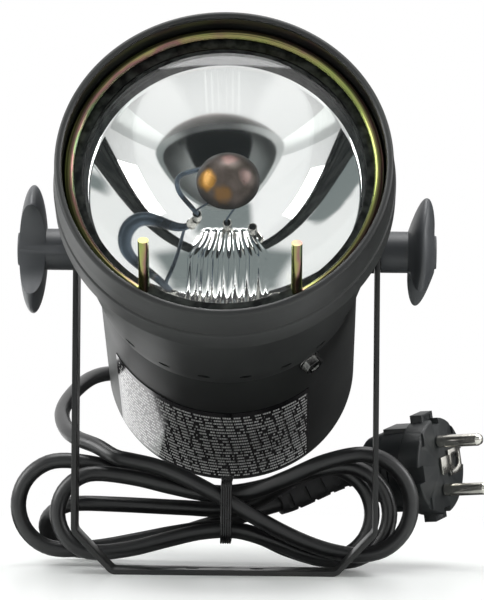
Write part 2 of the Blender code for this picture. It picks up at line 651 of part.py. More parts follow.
def make_transformer(paints, head):
    """Laminated core, winding, the strap that holds them to the can's back, and the terminal block."""
    back = CORE_CENTRE - CORE_DEPTH / 2
    front = CORE_CENTRE + CORE_DEPTH / 2
    core_shape = bmesh.new()
    add_block(core_shape, axial(CORE_CENTRE), (CORE_WIDTH, CORE_DEPTH, CORE_HEIGHT))
    core = solid("transformer_core", core_shape, paints["steel"], head)
    windows = bmesh.new()
    window = (CORE_WIDTH - 2 * LEG_WIDTH) / 2
    bar = LEG_WIDTH / 2
    for side in SIDES.values():
        at = side * (LEG_WIDTH + window) / 2
        add_block(windows, axial(CORE_CENTRE, at), (window, CORE_DEPTH * 2, CORE_HEIGHT - 2 * bar))
    combine(core, guide("window_cutter", windows, head), "DIFFERENCE")

    height = CORE_HEIGHT - 2 * bar - 2 * GAP
    coil_shape = bmesh.new()
    width = LEG_WIDTH + 2 * window - 2 * GAP
    add_block(coil_shape, axial(CORE_CENTRE), (width, coil_depth(), height))
    coil = solid("transformer_coil", coil_shape, paints["amber_tape"], head)
    leg = bmesh.new()
    add_block(leg, axial(CORE_CENTRE), (LEG_WIDTH + 2 * GAP, CORE_DEPTH + 2 * GAP, CORE_HEIGHT))
    combine(coil, guide("leg_cutter", leg, head), "DIFFERENCE")

    side_x = CORE_WIDTH / 2 + GAP + FRAME_THICKNESS / 2
    foot = CAN_FLOOR + GAP + FRAME_THICKNESS / 2
    over = front + GAP + FRAME_THICKNESS / 2
    corners = [(-side_x - FRAME_FOOT, foot), (-side_x, foot), (-side_x, over),
               (side_x, over), (side_x, foot), (side_x + FRAME_FOOT, foot)]
    path = [Vector(corner) for corner in corners]
    centre_up = frame_screw_place(1)[1]

    def frame_point(x, station, across):
        return axial(station, x, centre_up + across)

    strap = strip_shape(path, FRAME_THICKNESS, [FRAME_WIDTH / 2] * len(path), frame_point)
    frame = solid("transformer_frame", strap, paints["steel"], head)
    holes = bmesh.new()
    for side in SIDES.values():
        at = frame_screw_place(side)
        add_rod(holes, axial(foot - 4, *at), axial(foot + 4, *at), FRAME_SCREW_RADIUS + GAP, sides=12)
    combine(frame, guide("frame_cutter", holes, head), "DIFFERENCE")

    for i, side in ((1, -1), (2, 1)):
        at = frame_screw_place(side)
        outline = [(CAN_BACK - GAP - 2.0, 0), (CAN_BACK - GAP - 2.0, FRAME_SCREW_HEAD - 1.0),
                   (CAN_BACK - GAP - 1.2, FRAME_SCREW_HEAD), (CAN_BACK - GAP, FRAME_SCREW_HEAD),
                   (CAN_BACK - GAP, FRAME_SCREW_RADIUS), (foot + 4.0, FRAME_SCREW_RADIUS), (foot + 4.0, 0)]
        screw = solid(f"frame_screw_{i}", turned_shape(outline, 12), paints["nickel"], head)
        screw.location = axial(0, *at)

    block_station = front + GAP + BLOCK_SIZE[1] / 2
    block_up = -CORE_HEIGHT / 2 + bar - GAP - BLOCK_SIZE[2] / 2
    block_shape = bmesh.new()
    add_block(block_shape, axial(block_station, 0, block_up), BLOCK_SIZE)
    block = solid("terminal_block", block_shape, paints["white_block"], head)
    ports = bmesh.new()
    for side in SIDES.values():
        at = side * BLOCK_SIZE[0] / 4
        top = block_up + BLOCK_SIZE[2] / 2
        add_rod(ports, axial(block_station, at, top - 4), axial(block_station, at, top + 2), 1.6, sides=12)
    combine(block, guide("port_cutter", ports, head), "DIFFERENCE")

    bottom = block_up - BLOCK_SIZE[2] / 2
    nut_front = CAN_FLOOR + GAP + GLAND_NUT_HEIGHT
    under = -CORE_HEIGHT / 2 - 6.0
    stops = (head_point(nut_front + GAP, 0, 0), head_point(nut_front + 2.5, 0, -0.4),
             head_point(nut_front + 6.5, 0, -5), head_point(back - 12, 0, -18),
             head_point(back, 0, under), head_point(CORE_CENTRE + 4, 0, under - 1.5),
             head_point(block_station - 3, 0, under - 1), head_point(block_station, 0, bottom - 2.0 - GAP))
    tube("mains_tail", smooth_route(stops, 4), 2.0, paints["black_cord"], head)

    outward = earth_direction()
    nut_top = CAN_INNER - GAP - EARTH_NUT_HEIGHT - 2.6
    ring_end = outward * nut_top
    side = BLOCK_SIZE[0] / 2 + GAP
    stops = (head_point(block_station, side, block_up), head_point(block_station + 0.3, side + 2.5, block_up),
             head_point(block_station + 8, side + 8, block_up - 2),
             head_point(EARTH_STATION - 14, ring_end.x - 1, ring_end.z + 3),
             head_point(EARTH_STATION, ring_end.x, ring_end.z))
    tube("earth_wire", smooth_route(stops, 4), 1.2, paints["earth_wire"], head)


def earth_direction():
    """Outward direction of the earth screw, seen from the lamp's axis."""
    angle = math.radians(EARTH_ANGLE)
    return Vector((math.sin(angle), 0, -math.cos(angle)))


def make_earth_screw(paints, head):
    """Hexagon-headed screw through the can's wall, with its nut inside."""
    outward = earth_direction()
    centre = axial(EARTH_STATION)
    seat = CAN_RADIUS + GAP

    def at(radius):
        return centre + outward * radius * MM

    washer_top = seat + 0.8
    tip = CAN_INNER - GAP - EARTH_NUT_HEIGHT - 1.2
    across = EARTH_HEAD_WIDTH / math.sqrt(3)
    screw = rod("earth_screw", at(washer_top - 0.4), at(washer_top + EARTH_HEAD_HEIGHT), across,
                paints["dark_chrome"], head, sides=6)
    washer = rod("earth_flange", at(seat), at(washer_top), EARTH_HEAD_WIDTH * 0.66,
                 None, head, sides=20)
    shank = rod("earth_shank", at(tip), at(seat + 0.5), EARTH_RADIUS, None, head, sides=12)
    combine(screw, washer, "UNION")
    combine(screw, shank, "UNION")

    nut = rod("earth_nut", at(CAN_INNER - GAP - EARTH_NUT_HEIGHT), at(CAN_INNER - GAP - 0.4), across,
              paints["nickel"], head, sides=6)
    bore = rod("earth_nut_cutter", at(tip - 4), at(seat + 4), EARTH_RADIUS + GAP, None, head, sides=12)
    combine(nut, bore, "DIFFERENCE")


def make_label(paints, head):
    """Curved sticker under the can, made of the same facets as the can."""
    shape = bmesh.new()
    low = CAN_RADIUS + LABEL_GAP
    high = low + LABEL_THICKNESS
    first, last = LABEL_FACETS
    rows = []
    for i in range(first, last + 1):
        angle = math.tau * i / ROUND
        row = []
        for station, radius in ((LABEL_FRONT, low), (LABEL_FRONT, high), (LABEL_BACK, high), (LABEL_BACK, low)):
            row.append(shape.verts.new(axial(station, radius * math.sin(angle), -radius * math.cos(angle))))
        rows.append(row)
    for one, two in zip(rows, rows[1:]):
        for k in range(4):
            shape.faces.new((one[k], one[(k + 1) % 4], two[(k + 1) % 4], two[k]))
    shape.faces.new(rows[0])
    shape.faces.new(rows[-1])
    solid("rating_label", shape, paints["label"], head)


def make_gland(paints, head):
    """Tapered strain relief in the can's back, with the nut that holds it."""
    seat = CAN_BACK - GAP
    flange_back = seat - GLAND_FLANGE
    outline = [
        (CAN_FLOOR + GLAND_NUT_HEIGHT, 0), (CAN_FLOOR + GLAND_NUT_HEIGHT, GLAND_NECK_RADIUS),
        (seat, GLAND_NECK_RADIUS), (seat, GLAND_FLANGE_RADIUS),
        (flange_back + 0.6, GLAND_FLANGE_RADIUS), (flange_back, GLAND_FLANGE_RADIUS - 0.6),
        (flange_back, GLAND_TAPER[0]), (GLAND_TIP, GLAND_TAPER[1]), (GLAND_TIP, 0),
    ]
    solid("cord_gland", turned_shape(outline, 24), paints["black_rubber"], head)
    nut = rod("gland_nut", axial(CAN_FLOOR + GAP), axial(CAN_FLOOR + GAP + GLAND_NUT_HEIGHT - 1.0), 10.0,
              paints["black_plastic"], head, sides=6)
    bore = rod("gland_nut_cutter", axial(CAN_FLOOR - 5), axial(CAN_FLOOR + 10), GLAND_HOLE, None, head, sides=24)
    combine(nut, bore, "DIFFERENCE")


def make_yoke(paints):
    """U-shaped bracket with a narrower foot, rounded arm ends, four holes and one plain face between the foot's."""
    half = YOKE_STRIP / 2
    arm = ARM_OUTER - half
    foot = YOKE_FOOT_WIDTH / 2 - half * 0.6
    corners = [(-arm, PIVOT_HEIGHT), (-arm, YOKE_CHAMFER_HEIGHT), (-foot, half),
               (foot, half), (arm, YOKE_CHAMFER_HEIGHT), (arm, PIVOT_HEIGHT)]
    path = rounded_path(corners, YOKE_BEND)
    middle = len(path) // 2
    plain = FOOT_HOLE_SPACING / 3
    path[middle:middle] = [Vector((-plain, half)), Vector((plain, half))]
    wide = YOKE_DEPTH / 2
    widths = [wide] * len(path)
    for i in range(1, 8):
        angle = math.radians(12 * i)
        height = PIVOT_HEIGHT + wide * math.sin(angle)
        path = [Vector((-arm, height))] + path + [Vector((arm, height))]
        widths = [wide * math.cos(angle)] + widths + [wide * math.cos(angle)]
    shape = strip_shape(path, YOKE_STRIP, widths, lambda x, z, across: Vector((x, across, z)) * MM)
    yoke = solid("yoke_bracket", shape, paints["black_coat"])

    holes = bmesh.new()
    for side in SIDES.values():
        pivot = Vector((side * ARM_OUTER, 0, PIVOT_HEIGHT)) * MM
        across = Vector((6 * MM, 0, 0))
        add_rod(holes, pivot - across, pivot + across, YOKE_PIVOT_HOLE)
        low = Vector((side * FOOT_HOLE_SPACING / 2, 0, -4)) * MM
        add_rod(holes, low, low + Vector((0, 0, 12 * MM)), FOOT_HOLE_RADIUS)
    combine(yoke, guide("yoke_cutter", holes), "DIFFERENCE")


def make_knob(side_name, paints):
    """Two-lobed clamp knob with its stud, spacer and nut, turned about the pivot axis."""
    side = SIDES[side_name]
    turn = math.radians(KNOB_TURN[side_name])
    axis = empty(f"{side_name}_knob_axis", Vector((0, 0, PIVOT_HEIGHT)) * MM, tilt=turn)

    def out(distance, y=0.0, z=0.0):
        return Vector((side * (ARM_OUTER + distance), y, z)) * MM

    grip_shape = bmesh.new()
    spread = Matrix.Diagonal((GRIP_THICKNESS / 2 * MM, GRIP_SPAN / 2 * MM, GRIP_SPAN / 2 * MM, 1))
    bmesh.ops.create_uvsphere(grip_shape, u_segments=24, v_segments=14, radius=1,
                              matrix=Matrix.Translation(out(GRIP_CENTRE)) @ spread)
    knob = solid(f"knob_{side_name}", grip_shape, paints["black_plastic"], axis)

    hub = rod(f"{side_name}_hub", out(GAP), out(GRIP_CENTRE), HUB_RADIUS, None, axis, sides=24)
    combine(knob, hub, "UNION")

    scoops = bmesh.new()
    for end in (-1, 1):
        centre = end * SCOOP_OFFSET
        add_rod(scoops, out(GRIP_CENTRE - 9, centre), out(GRIP_CENTRE + 9, centre), SCOOP_RADIUS, sides=40)
    combine(knob, guide(f"{side_name}_scoops", scoops, axis), "DIFFERENCE")

    bump = rod(f"{side_name}_bump", out(GRIP_CENTRE), out(BUMP_END), BUMP_RADIUS, None, axis,
               end_radius=BUMP_RADIUS - 1.4, sides=24)
    combine(knob, bump, "UNION")
    blind = rod(f"{side_name}_bore", out(-6), out(STUD_GRIP + GAP), STUD_HOLE, None, axis)
    combine(knob, blind, "DIFFERENCE")

    inner = Vector((side * STUD_INNER_END, 0, 0)) * MM
    rod(f"pivot_stud_{side_name}", inner, out(STUD_GRIP), STUD_RADIUS, paints["nickel"], axis)


def make_pivot_fittings(side_name, paints, head):
    """Fibre spacer between arm and housing, and the nut that the stud screws into."""
    side = SIDES[side_name]

    def inward(x):
        return axial(0, side * x)

    spacer = rod(f"pivot_spacer_{side_name}", inward(SPACER_SEAT), inward(SPACER_SEAT + SPACER_LENGTH),
                 SPACER_RADIUS, paints["fibre"], head, sides=24)
    bore = rod(f"{side_name}_spacer_cutter", inward(SPACER_SEAT - 8), inward(ARM_OUTER + 8), STUD_HOLE, None, head)
    combine(spacer, bore, "DIFFERENCE")

    seat = housing_radius(-PIVOT_NUT_WIDTH / 2) - HOUSING_WALL - 0.6
    nut = rod(f"pivot_nut_{side_name}", inward(seat), inward(seat - PIVOT_NUT_HEIGHT),
              PIVOT_NUT_WIDTH / math.sqrt(3), paints["nickel"], head, sides=6)
    thread = rod(f"{side_name}_nut_cutter", inward(seat - 12), inward(seat + 12), STUD_HOLE, None, head)
    combine(nut, thread, "DIFFERENCE")


def fold_points(side, reach, radius, back, low, lean):
    """Half turn at one end of the hank: upwards at the right, downwards at the left."""
    lean = math.radians(lean)
    centre_z = low + radius * math.cos(lean)
    points = []
    for i in range(FOLD_POINTS):
        angle = side * (math.pi * i / (FOLD_POINTS - 1) - math.pi / 2)
        rise = radius * math.sin(angle)
        points.append(Vector((side * (reach - radius + radius * math.cos(angle)),
                              back - rise * math.sin(lean), centre_z + rise * math.cos(lean))))
    return points


def waist_run(start, end, waist):
    """Run from one fold to the next, drawn to the waist's height at the tie; a step back lies right of it."""
    points = []
    middle = -start.x / (end.x - start.x)
    leftwards = end.x < start.x
    for i in range(1, RUN_POINTS + 1):
        t = i / (RUN_POINTS + 1)
        x = start.x + (end.x - start.x) * t
        if t < middle:
            z = start.z + (waist - start.z) * ease(t / middle)
        else:
            z = waist + (end.z - waist) * ease((t - middle) / (1 - middle))
        gone = (CLIMB_FROM - x if leftwards else CLIMB_FROM + x) / CLIMB_FROM
        points.append(Vector((x, start.y + (end.y - start.y) * ease(gone), z)))
    return points


def hank_points():
    """The whole hank as one line: in across the tie, three turns of folds and runs, out to the plug."""
    folds = [fold_points(*fold) for fold in FOLDS]
    start = Vector(HANK_START)
    points = []
    for i in range(CROSSING_POINTS):
        t = i / CROSSING_POINTS
        first = folds[0][0]
        points.append(Vector((start.x + (first.x - start.x) * t,
                              start.y + (first.y - start.y) * ease(t / 0.42),
                              start.z + (first.z - start.z) * (ease(t) + CROSSING_FALL * t * (1 - t) ** 2))))
    for i, fold in enumerate(folds):
        points += fold
        if i + 1 < len(folds):
            points += waist_run(fold[-1], folds[i + 1][0], WAIST_HEIGHTS[i])
    tip = Vector(RELIEF_TIP)
    way = Vector(RELIEF_TIP_DIRECTION).normalized()
    stops = [points[-2], points[-1]] + list(HANK_TAIL) + [tip + way * (CORD_DIAMETER + GAP), tip + way * GAP]
    tail = smooth_route(stops, CORD_SPACING)
    return points[:-2] + tail


def least_gap(points):
    """Least face to face distance between stretches of the cord that aren't neighbours."""
    fine = []
    for one, two in zip(points, points[1:]):
        steps = max(1, round((two - one).length / 1.5))
        fine += [one.lerp(two, i / steps) for i in range(steps)]
    skip = round(3 * CORD_DIAMETER / 1.5)
    least = min((fine[i] - fine[j]).length for i in range(len(fine)) for j in range(i + skip, len(fine)))
    return least - CORD_DIAMETER


def length_of(points):
    """Length of a line through points."""
    return sum((two - one).length for one, two in zip(points, points[1:]))


def make_cord(paints):
    """Lead from the gland, the tied hank and its tie."""
    tilt = math.radians(REST_TILT)
    backwards = Vector((0, math.cos(tilt), -math.sin(tilt)))
    pivot = Vector((0, 0, PIVOT_HEIGHT))
    exit_point = pivot + backwards * (-GLAND_TIP + GAP)
    hank = hank_points()
    into = (hank[1] - hank[0]).normalized()
    stops = [exit_point, exit_point + backwards * CORD_DIAMETER] + list(LEAD_ROUTE)
    stops += [hank[0] - into * (CORD_DIAMETER + GAP), hank[0] - into * GAP]
    lead = smooth_route(stops, CORD_SPACING)
    tube("cord_lead", lead, CORD_RADIUS, paints["black_cord"])
    tube("cord_hank", hank, CORD_RADIUS, paints["black_cord"], detail=1)
    gap = least_gap(hank)
    print(f"hank: {length_of(hank):.0f} mm, lead: {length_of(lead):.0f} mm, least gap {gap:.2f} mm")
    if gap < LEAST_SELF_GAP:
        print("the hank's turns lie too close")

    low, high = TIE_HEIGHTS
    near, far = TIE_REACH
    shape = bmesh.new()
    rings = []
    for grow in (0, TIE_THICKNESS):
        ring = []
        for corner in range(4):
            cy = (far if corner in (0, 1) else near) + (-TIE_CORNER if corner in (0, 1) else TIE_CORNER)
            cz = (high if corner in (0, 3) else low) + (-TIE_CORNER if corner in (0, 3) else TIE_CORNER)
            start = (90, 0, -90, 180)[corner]
            for i in range(4):
                angle = math.radians(start - 30 * i)
                reach = TIE_CORNER + grow
                ring.append((cy + reach * math.cos(angle), cz + reach * math.sin(angle)))
        rings.append(ring)
    rows = []
    for (y0, z0), (y1, z1) in zip(*rings):
        half = TIE_WIDTH / 2
        corners = ((-half, y0, z0), (half, y0, z0), (half, y1, z1), (-half, y1, z1))
        rows.append([shape.verts.new(Vector(corner) * MM) for corner in corners])
    for one, two in zip(rows, rows[1:] + rows[:1]):
        for k in range(4):
            shape.faces.new((one[k], one[(k + 1) % 4], two[(k + 1) % 4], two[k]))
    solid("cord_tie", shape, paints["black_plastic"])


def make_plug(paints):
    """Moulded plug with two round pins, an earth plate in its face and a long bending relief."""
    axis = Vector(PLUG_AXIS).normalized()
    lean = Vector(PLUG_LEAN)
    upwards = (lean - axis * lean.dot(axis)).normalized()
    across = upwards.cross(axis)
    turn = Matrix((across, -axis, upwards)).transposed().to_4x4()
    frame = empty("plug_frame", Vector(PLUG_FACE) * MM)
    frame.rotation_euler = turn.to_euler()

    one, two, three = PLUG_GRIP_RADII
    back = -PLUG_FLANGE
    outline = [
        (0, 0), (0, PLUG_RADIUS - 0.8), (-0.8, PLUG_RADIUS), (back, PLUG_RADIUS), (back - 0.6, one),
        (back - 11, two), (-PLUG_LENGTH + 2, three), (-PLUG_LENGTH, three - 2.5), (-PLUG_LENGTH, 0),
    ]
    body = solid("plug_body", turned_shape(outline, 36), paints["black_plastic"], frame)
    wide, proud, deep = PLUG_TAB
    tabs = bmesh.new()
    notches = bmesh.new()
    for side in SIDES.values():
        height = PLUG_RADIUS * 2 + 2 * proud
        if side > 0:
            add_block(tabs, axial(-deep / 2 - 3.2), (wide, deep, height))
        cut = (PLUG_NOTCH[0] * 2, PLUG_FLANGE * 1.4, PLUG_NOTCH[1])
        add_block(notches, axial(-PLUG_FLANGE * 0.2, side * PLUG_RADIUS), cut)
    combine(body, guide("plug_tabs", tabs, frame), "UNION")
    combine(body, guide("plug_notches", notches, frame), "DIFFERENCE")

    for i, side in ((1, 1), (2, -1)):
        up = side * PIN_PITCH / 2
        outline = [(GAP, 0), (GAP, PIN_RADIUS), (PIN_LENGTH - 1.8, PIN_RADIUS),
                   (PIN_LENGTH - 0.5, PIN_RADIUS * 0.75), (PIN_LENGTH, PIN_RADIUS * 0.35), (PIN_LENGTH, 0)]
        pin = solid(f"plug_pin_{i}", turned_shape(outline, 16), paints["nickel"], frame)
        pin.location = axial(0, 0, up)

    plate_shape = bmesh.new()
    middle = axial(GAP + EARTH_PLATE[2] / 2, EARTH_PLATE_OFFSET)
    add_block(plate_shape, middle, (EARTH_PLATE[0], EARTH_PLATE[2], EARTH_PLATE[1]))
    plate = solid("plug_earth_plate", plate_shape, paints["nickel"], frame)
    hole = rod("plate_cutter", axial(-4, EARTH_PLATE_OFFSET), axial(6, EARTH_PLATE_OFFSET), EARTH_PLATE_HOLE,
               None, frame)
    combine(plate, hole, "DIFFERENCE")

    start = Vector(PLUG_FACE) - axis * (PLUG_LENGTH + GAP)
    tip = Vector(RELIEF_TIP)
    way = Vector(RELIEF_TIP_DIRECTION).normalized()
    root = start - axis * RELIEF_STRAIGHT
    near = root - axis * RELIEF_PULL
    far = tip - way * RELIEF_PULL
    stops = [start]
    radii = [RELIEF_RADII[0]]
    for i in range(RELIEF_POINTS):
        t = i / (RELIEF_POINTS - 1)
        stops.append(root * (1 - t) ** 3 + near * 3 * t * (1 - t) ** 2 + far * 3 * t * t * (1 - t) + tip * t ** 3)
        radii.append(RELIEF_RADII[0] + (RELIEF_RADII[1] - RELIEF_RADII[0]) * t)
    tube("plug_relief", stops, RELIEF_RADII[0], paints["black_rubber"], radii=radii)


def make_paints():
    """Materials of all the pieces."""
    return {
        "black_coat": paint("black_coat", (0.012, 0.012, 0.013), 0.38),
        "black_plastic": paint("black_plastic", (0.012, 0.013, 0.014), 0.35),
        "black_rubber": paint("black_rubber", (0.01, 0.01, 0.01), 0.55),
        "black_cord": paint("black_cord", (0.012, 0.012, 0.012), 0.4),
        "zinc": paint("yellow_zinc", (0.45, 0.48, 0.30), 0.25, 1.0),
        "clear_glass": paint("clear_glass", (0.95, 0.97, 0.98), 0.02, 0.0, 1.0),
        "mirror": paint("mirror", (0.85, 0.87, 0.88), 0.04, 1.0),
        "bronze": paint("bronze", (0.28, 0.13, 0.05), 0.25, 1.0),
        "nickel": paint("nickel", (0.65, 0.63, 0.58), 0.25, 1.0),
        "dark_chrome": paint("dark_chrome", (0.12, 0.12, 0.13), 0.15, 1.0),
        "tungsten": paint("tungsten", (0.35, 0.35, 0.37), 0.4, 1.0),
        "steel": paint("steel", (0.30, 0.30, 0.32), 0.45, 1.0),
        "amber_tape": paint("amber_tape", (0.55, 0.30, 0.05), 0.4),
        "white_block": paint("white_block", (0.80, 0.80, 0.76), 0.5),
        "white_wire": paint("white_wire", (0.75, 0.75, 0.72), 0.5),
        "earth_wire": paint("earth_wire", (0.30, 0.55, 0.08), 0.5),
        "fibre": paint("fibre", (0.03, 0.03, 0.03), 0.8),
        "label": paint("label", (0.02, 0.02, 0.022), 0.25),
    }


clear_scene()
all_paints = make_paints()
tilt_axis = empty("tilt_axis", (0, 0, PIVOT_HEIGHT * MM), tilt=-math.radians(REST_TILT))
make_yoke(all_paints)
make_front_housing(all_paints, tilt_axis)
make_rear_can(all_paints, tilt_axis)
make_lamp_ring(all_paints, tilt_axis)
make_lamp(all_paints, tilt_axis)
make_transformer(all_paints, tilt_axis)
make_earth_screw(all_paints, tilt_axis)
make_label(all_paints, tilt_axis)
make_gland(all_paints, tilt_axis)
for name_of_side in SIDES:
    make_pivot_fittings(name_of_side, all_paints, tilt_axis)
    make_knob(name_of_side, all_paints)
make_cord(all_paints)
make_plug(all_paints)
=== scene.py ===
from math import asin, atan2, copysign, cos, hypot, pi, radians, sin, sqrt, tan, tau

import bmesh
import bpy
from mathutils import Matrix, Vector


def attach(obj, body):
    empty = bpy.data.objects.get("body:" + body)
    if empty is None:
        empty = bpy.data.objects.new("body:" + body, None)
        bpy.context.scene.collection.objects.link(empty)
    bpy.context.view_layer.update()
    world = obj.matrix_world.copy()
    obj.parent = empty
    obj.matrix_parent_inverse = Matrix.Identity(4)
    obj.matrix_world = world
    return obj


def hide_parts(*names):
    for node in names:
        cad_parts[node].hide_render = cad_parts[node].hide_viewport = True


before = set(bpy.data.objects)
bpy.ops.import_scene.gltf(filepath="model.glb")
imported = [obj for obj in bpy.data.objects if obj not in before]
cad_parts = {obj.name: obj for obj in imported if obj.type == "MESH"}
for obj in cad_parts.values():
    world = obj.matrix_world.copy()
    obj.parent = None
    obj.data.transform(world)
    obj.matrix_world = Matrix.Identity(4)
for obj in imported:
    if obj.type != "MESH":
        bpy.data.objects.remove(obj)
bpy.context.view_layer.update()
MM = 0.001


# The light stands on a white table in a white tent and is photographed from the front with a long lens, level
# with the head. Three soft lamps hang round it, and pale and dark cards give its shiny parts something to show;
# the dark card under and behind it stands for the shaded table there, painted shade seen only in reflections.
LENS_PIXELS = 3560
PHOTO_HEIGHT = 600
SENSOR_WIDTH = 36
CAMERA_DISTANCE = 1.33
CAMERA_HEIGHT = 0.119
CAMERA_YAW = radians(1.22)
CAMERA_ROLL = radians(0.5)
CAMERA_SHIFT = (0.0248, -0.0753)
LAMP_AIM = Vector((0, 0, 0.1))
LAMPS = (("top_lamp", (0.0, 0.05, 1.4), 1.0, 14.5), ("left_lamp", (-1.2, -0.15, 0.7), 0.7, 9.5),
         ("right_lamp", (1.2, -0.15, 0.7), 0.7, 6.5))


def new_object(name, data):
    """Object of the given data, put into the scene."""
    thing = bpy.data.objects.new(name, data)
    bpy.context.scene.collection.objects.link(thing)
    return thing


lens = bpy.data.cameras.new("camera")
lens.sensor_width = SENSOR_WIDTH
lens.lens = LENS_PIXELS * SENSOR_WIDTH / PHOTO_HEIGHT
lens.shift_x, lens.shift_y = CAMERA_SHIFT
camera = new_object("camera", lens)
camera.matrix_world = (Matrix.Rotation(CAMERA_YAW, 4, "Z")
                       @ Matrix.Translation((0, -CAMERA_DISTANCE, CAMERA_HEIGHT))
                       @ Matrix.Rotation(radians(90), 4, "X") @ Matrix.Rotation(CAMERA_ROLL, 4, "Z"))
bpy.context.scene.camera = camera
bpy.context.scene.view_settings.view_transform = "Standard"

for name, place, size, power in LAMPS:
    light = bpy.data.lights.new(name, "AREA")
    light.size = size
    light.energy = power
    lamp = new_object(name, light)
    lamp.location = place
    lamp.rotation_euler = (LAMP_AIM - Vector(place)).to_track_quat("-Z", "Y").to_euler()


def set_inlets(tree, node, inlets):
    """Sets a shader node's inlets: a plain value stays a value, another node's outlet is wired on."""
    for inlet, value in inlets.items():
        if isinstance(value, bpy.types.NodeSocket):
            tree.links.new(value, node.inputs[inlet])
        else:
            node.inputs[inlet].default_value = value


def add_node(tree, kind, inlets=None, outlet=0, **settings):
    """Adds a shader node, sets it up and gives one of its outlets, or several for a slice."""
    node = tree.nodes.new(kind)
    for name, value in settings.items():
        setattr(node, name, value)
    set_inlets(tree, node, inlets or {})
    return node.outputs[outlet]


def calc(tree, operation, *values):
    """One sum with outlets and plain numbers."""
    return add_node(tree, "ShaderNodeMath", dict(enumerate(values)), operation=operation)


def product(tree, first, *others):
    """Several outlets or numbers multiplied together."""
    for other in others:
        first = calc(tree, "MULTIPLY", first, other)
    return first


def spread(tree, value, low, high, to_low=0.0, to_high=1.0, curve="SMOOTHSTEP"):
    """Carries a value from the range low to high over to another range."""
    return add_node(tree, "ShaderNodeMapRange", {"Value": value, "From Min": low, "From Max": high,
                                                 "To Min": to_low, "To Max": to_high}, interpolation_type=curve)


def distance(tree, where, point):
    """How far each place is from one point."""
    return add_node(tree, "ShaderNodeVectorMath", {0: where, 1: point}, "Value", operation="DISTANCE")


def colour_band(tree, factor, *stops):
    """Colour that follows a factor from stop to stop, each stop a position and a colour."""
    node = tree.nodes.new("ShaderNodeValToRGB")
    band = node.color_ramp.elements
    for stop, (position, colour) in zip((band[0], band[1]), (stops[0], stops[-1])):
        stop.position = position
        stop.color = (*colour, 1)
    for position, colour in stops[1:-1]:
        band.new(position).color = (*colour, 1)
    tree.links.new(factor, node.inputs["Fac"])
    return node.outputs["Color"]


def mixed(tree, share, first, second):
    """Two surfaces mixed by a share of the second."""
    return add_node(tree, "ShaderNodeMixShader", {0: share, 1: first, 2: second})


tent = bpy.data.worlds.new("tent")
tent.use_nodes = True
air = tent.node_tree
fill = air.nodes["Background"]
set_inlets(air, fill, {"Color": (0.97, 0.985, 1.0, 1), "Strength": 0.48})
way = add_node(air, "ShaderNodeTexCoord", outlet="Generated")
way_x, way_y, way_z = add_node(air, "ShaderNodeSeparateXYZ", {0: way}, slice(3))
ripple = add_node(air, "ShaderNodeTexNoise", {"Vector": way, "Scale": 2.2, "Detail": 2})
wavy = product(air, calc(air, "SUBTRACT", ripple, 0.5), 0.5)
opening = product(air, spread(air, calc(air, "ADD", way_y, wavy), -0.93, -0.97),
                  spread(air, calc(air, "ADD", way_z, wavy), 0.30, 0.24))
roof = product(air, spread(air, way_z, 0.47, 0.56), spread(air, way_z, 0.92, 0.84),
               spread(air, calc(air, "ABSOLUTE", way_x), 0.46, 0.34), spread(air, way_y, -0.20, -0.36))
tent_tone = colour_band(air, calc(air, "MAXIMUM", opening, roof), (0.0, (1, 1, 1)), (1.0, (0.22, 0.25, 0.25)))
seen = add_node(air, "ShaderNodeBackground", {"Color": tent_tone})
sky = add_node(air, "ShaderNodeBackground", {"Color": (1, 1, 1, 1)})
ray = air.nodes.new("ShaderNodeLightPath").outputs
mirrored = calc(air, "MAXIMUM", ray["Is Glossy Ray"], ray["Is Transmission Ray"])
whole_tent = mixed(air, ray["Is Camera Ray"], mixed(air, mirrored, fill.outputs[0], seen), sky)
air.links.new(whole_tent, air.nodes["World Output"].inputs["Surface"])
bpy.context.scene.world = tent


def flat_sheet(name, corners):
    """One flat sheet of the studio."""
    mesh = bpy.data.meshes.new(name)
    mesh.from_pydata(corners, [], [tuple(range(len(corners)))])
    sheet = new_object(name, mesh)
    return sheet


def new_material(name):
    """Fresh material and its tree of nodes."""
    material = bpy.data.materials.new(name)
    material.use_nodes = True
    return material, material.node_tree


CARD_LIFT = 0.0012
# The dark card lying under and behind the light is painted shade: it stands for the shaded table and is seen only
# in reflections.
LYING_CARDS = (("front_card", 0.95, ((-0.60, -1.00), (0.60, -1.00), (0.60, -0.17), (-0.60, -0.17))),
               ("left_card", 1.7, ((-0.60, 0.38), (-0.057, 0.118), (-0.20, 0.60), (-0.60, 0.60))),
               ("painted_shade_card", 0.05, ((-0.16, 0.03), (1.60, 0.03), (1.60, 3.00), (-0.04, 3.00), (-0.057, 0.118),
                                     (-0.16, 0.168))))
RIGHT_FLAG = ("right_flag", 0.06, [(0.25, 2.0, 0.0), (1.9, 1.1, 0.0), (1.9, 1.1, 1.1), (0.25, 2.0, 1.1)])
cards = [(name, glow, [(x, y, CARD_LIFT) for x, y in corners]) for name, glow, corners in LYING_CARDS]
for name, glow, corners in cards + [RIGHT_FLAG]:
    card = flat_sheet(name, corners)
    card.visible_camera = card.visible_diffuse = card.visible_shadow = False
    card_paint, tree = new_material(name)
    from_behind = add_node(tree, "ShaderNodeNewGeometry", outlet="Backfacing")
    card_face = add_node(tree, "ShaderNodeEmission", {"Strength": glow})
    card_sides = mixed(tree, from_behind, card_face, add_node(tree, "ShaderNodeBsdfTransparent"))
    tree.links.new(card_sides, tree.nodes["Material Output"].inputs["Surface"])
    card.data.materials.append(card_paint)

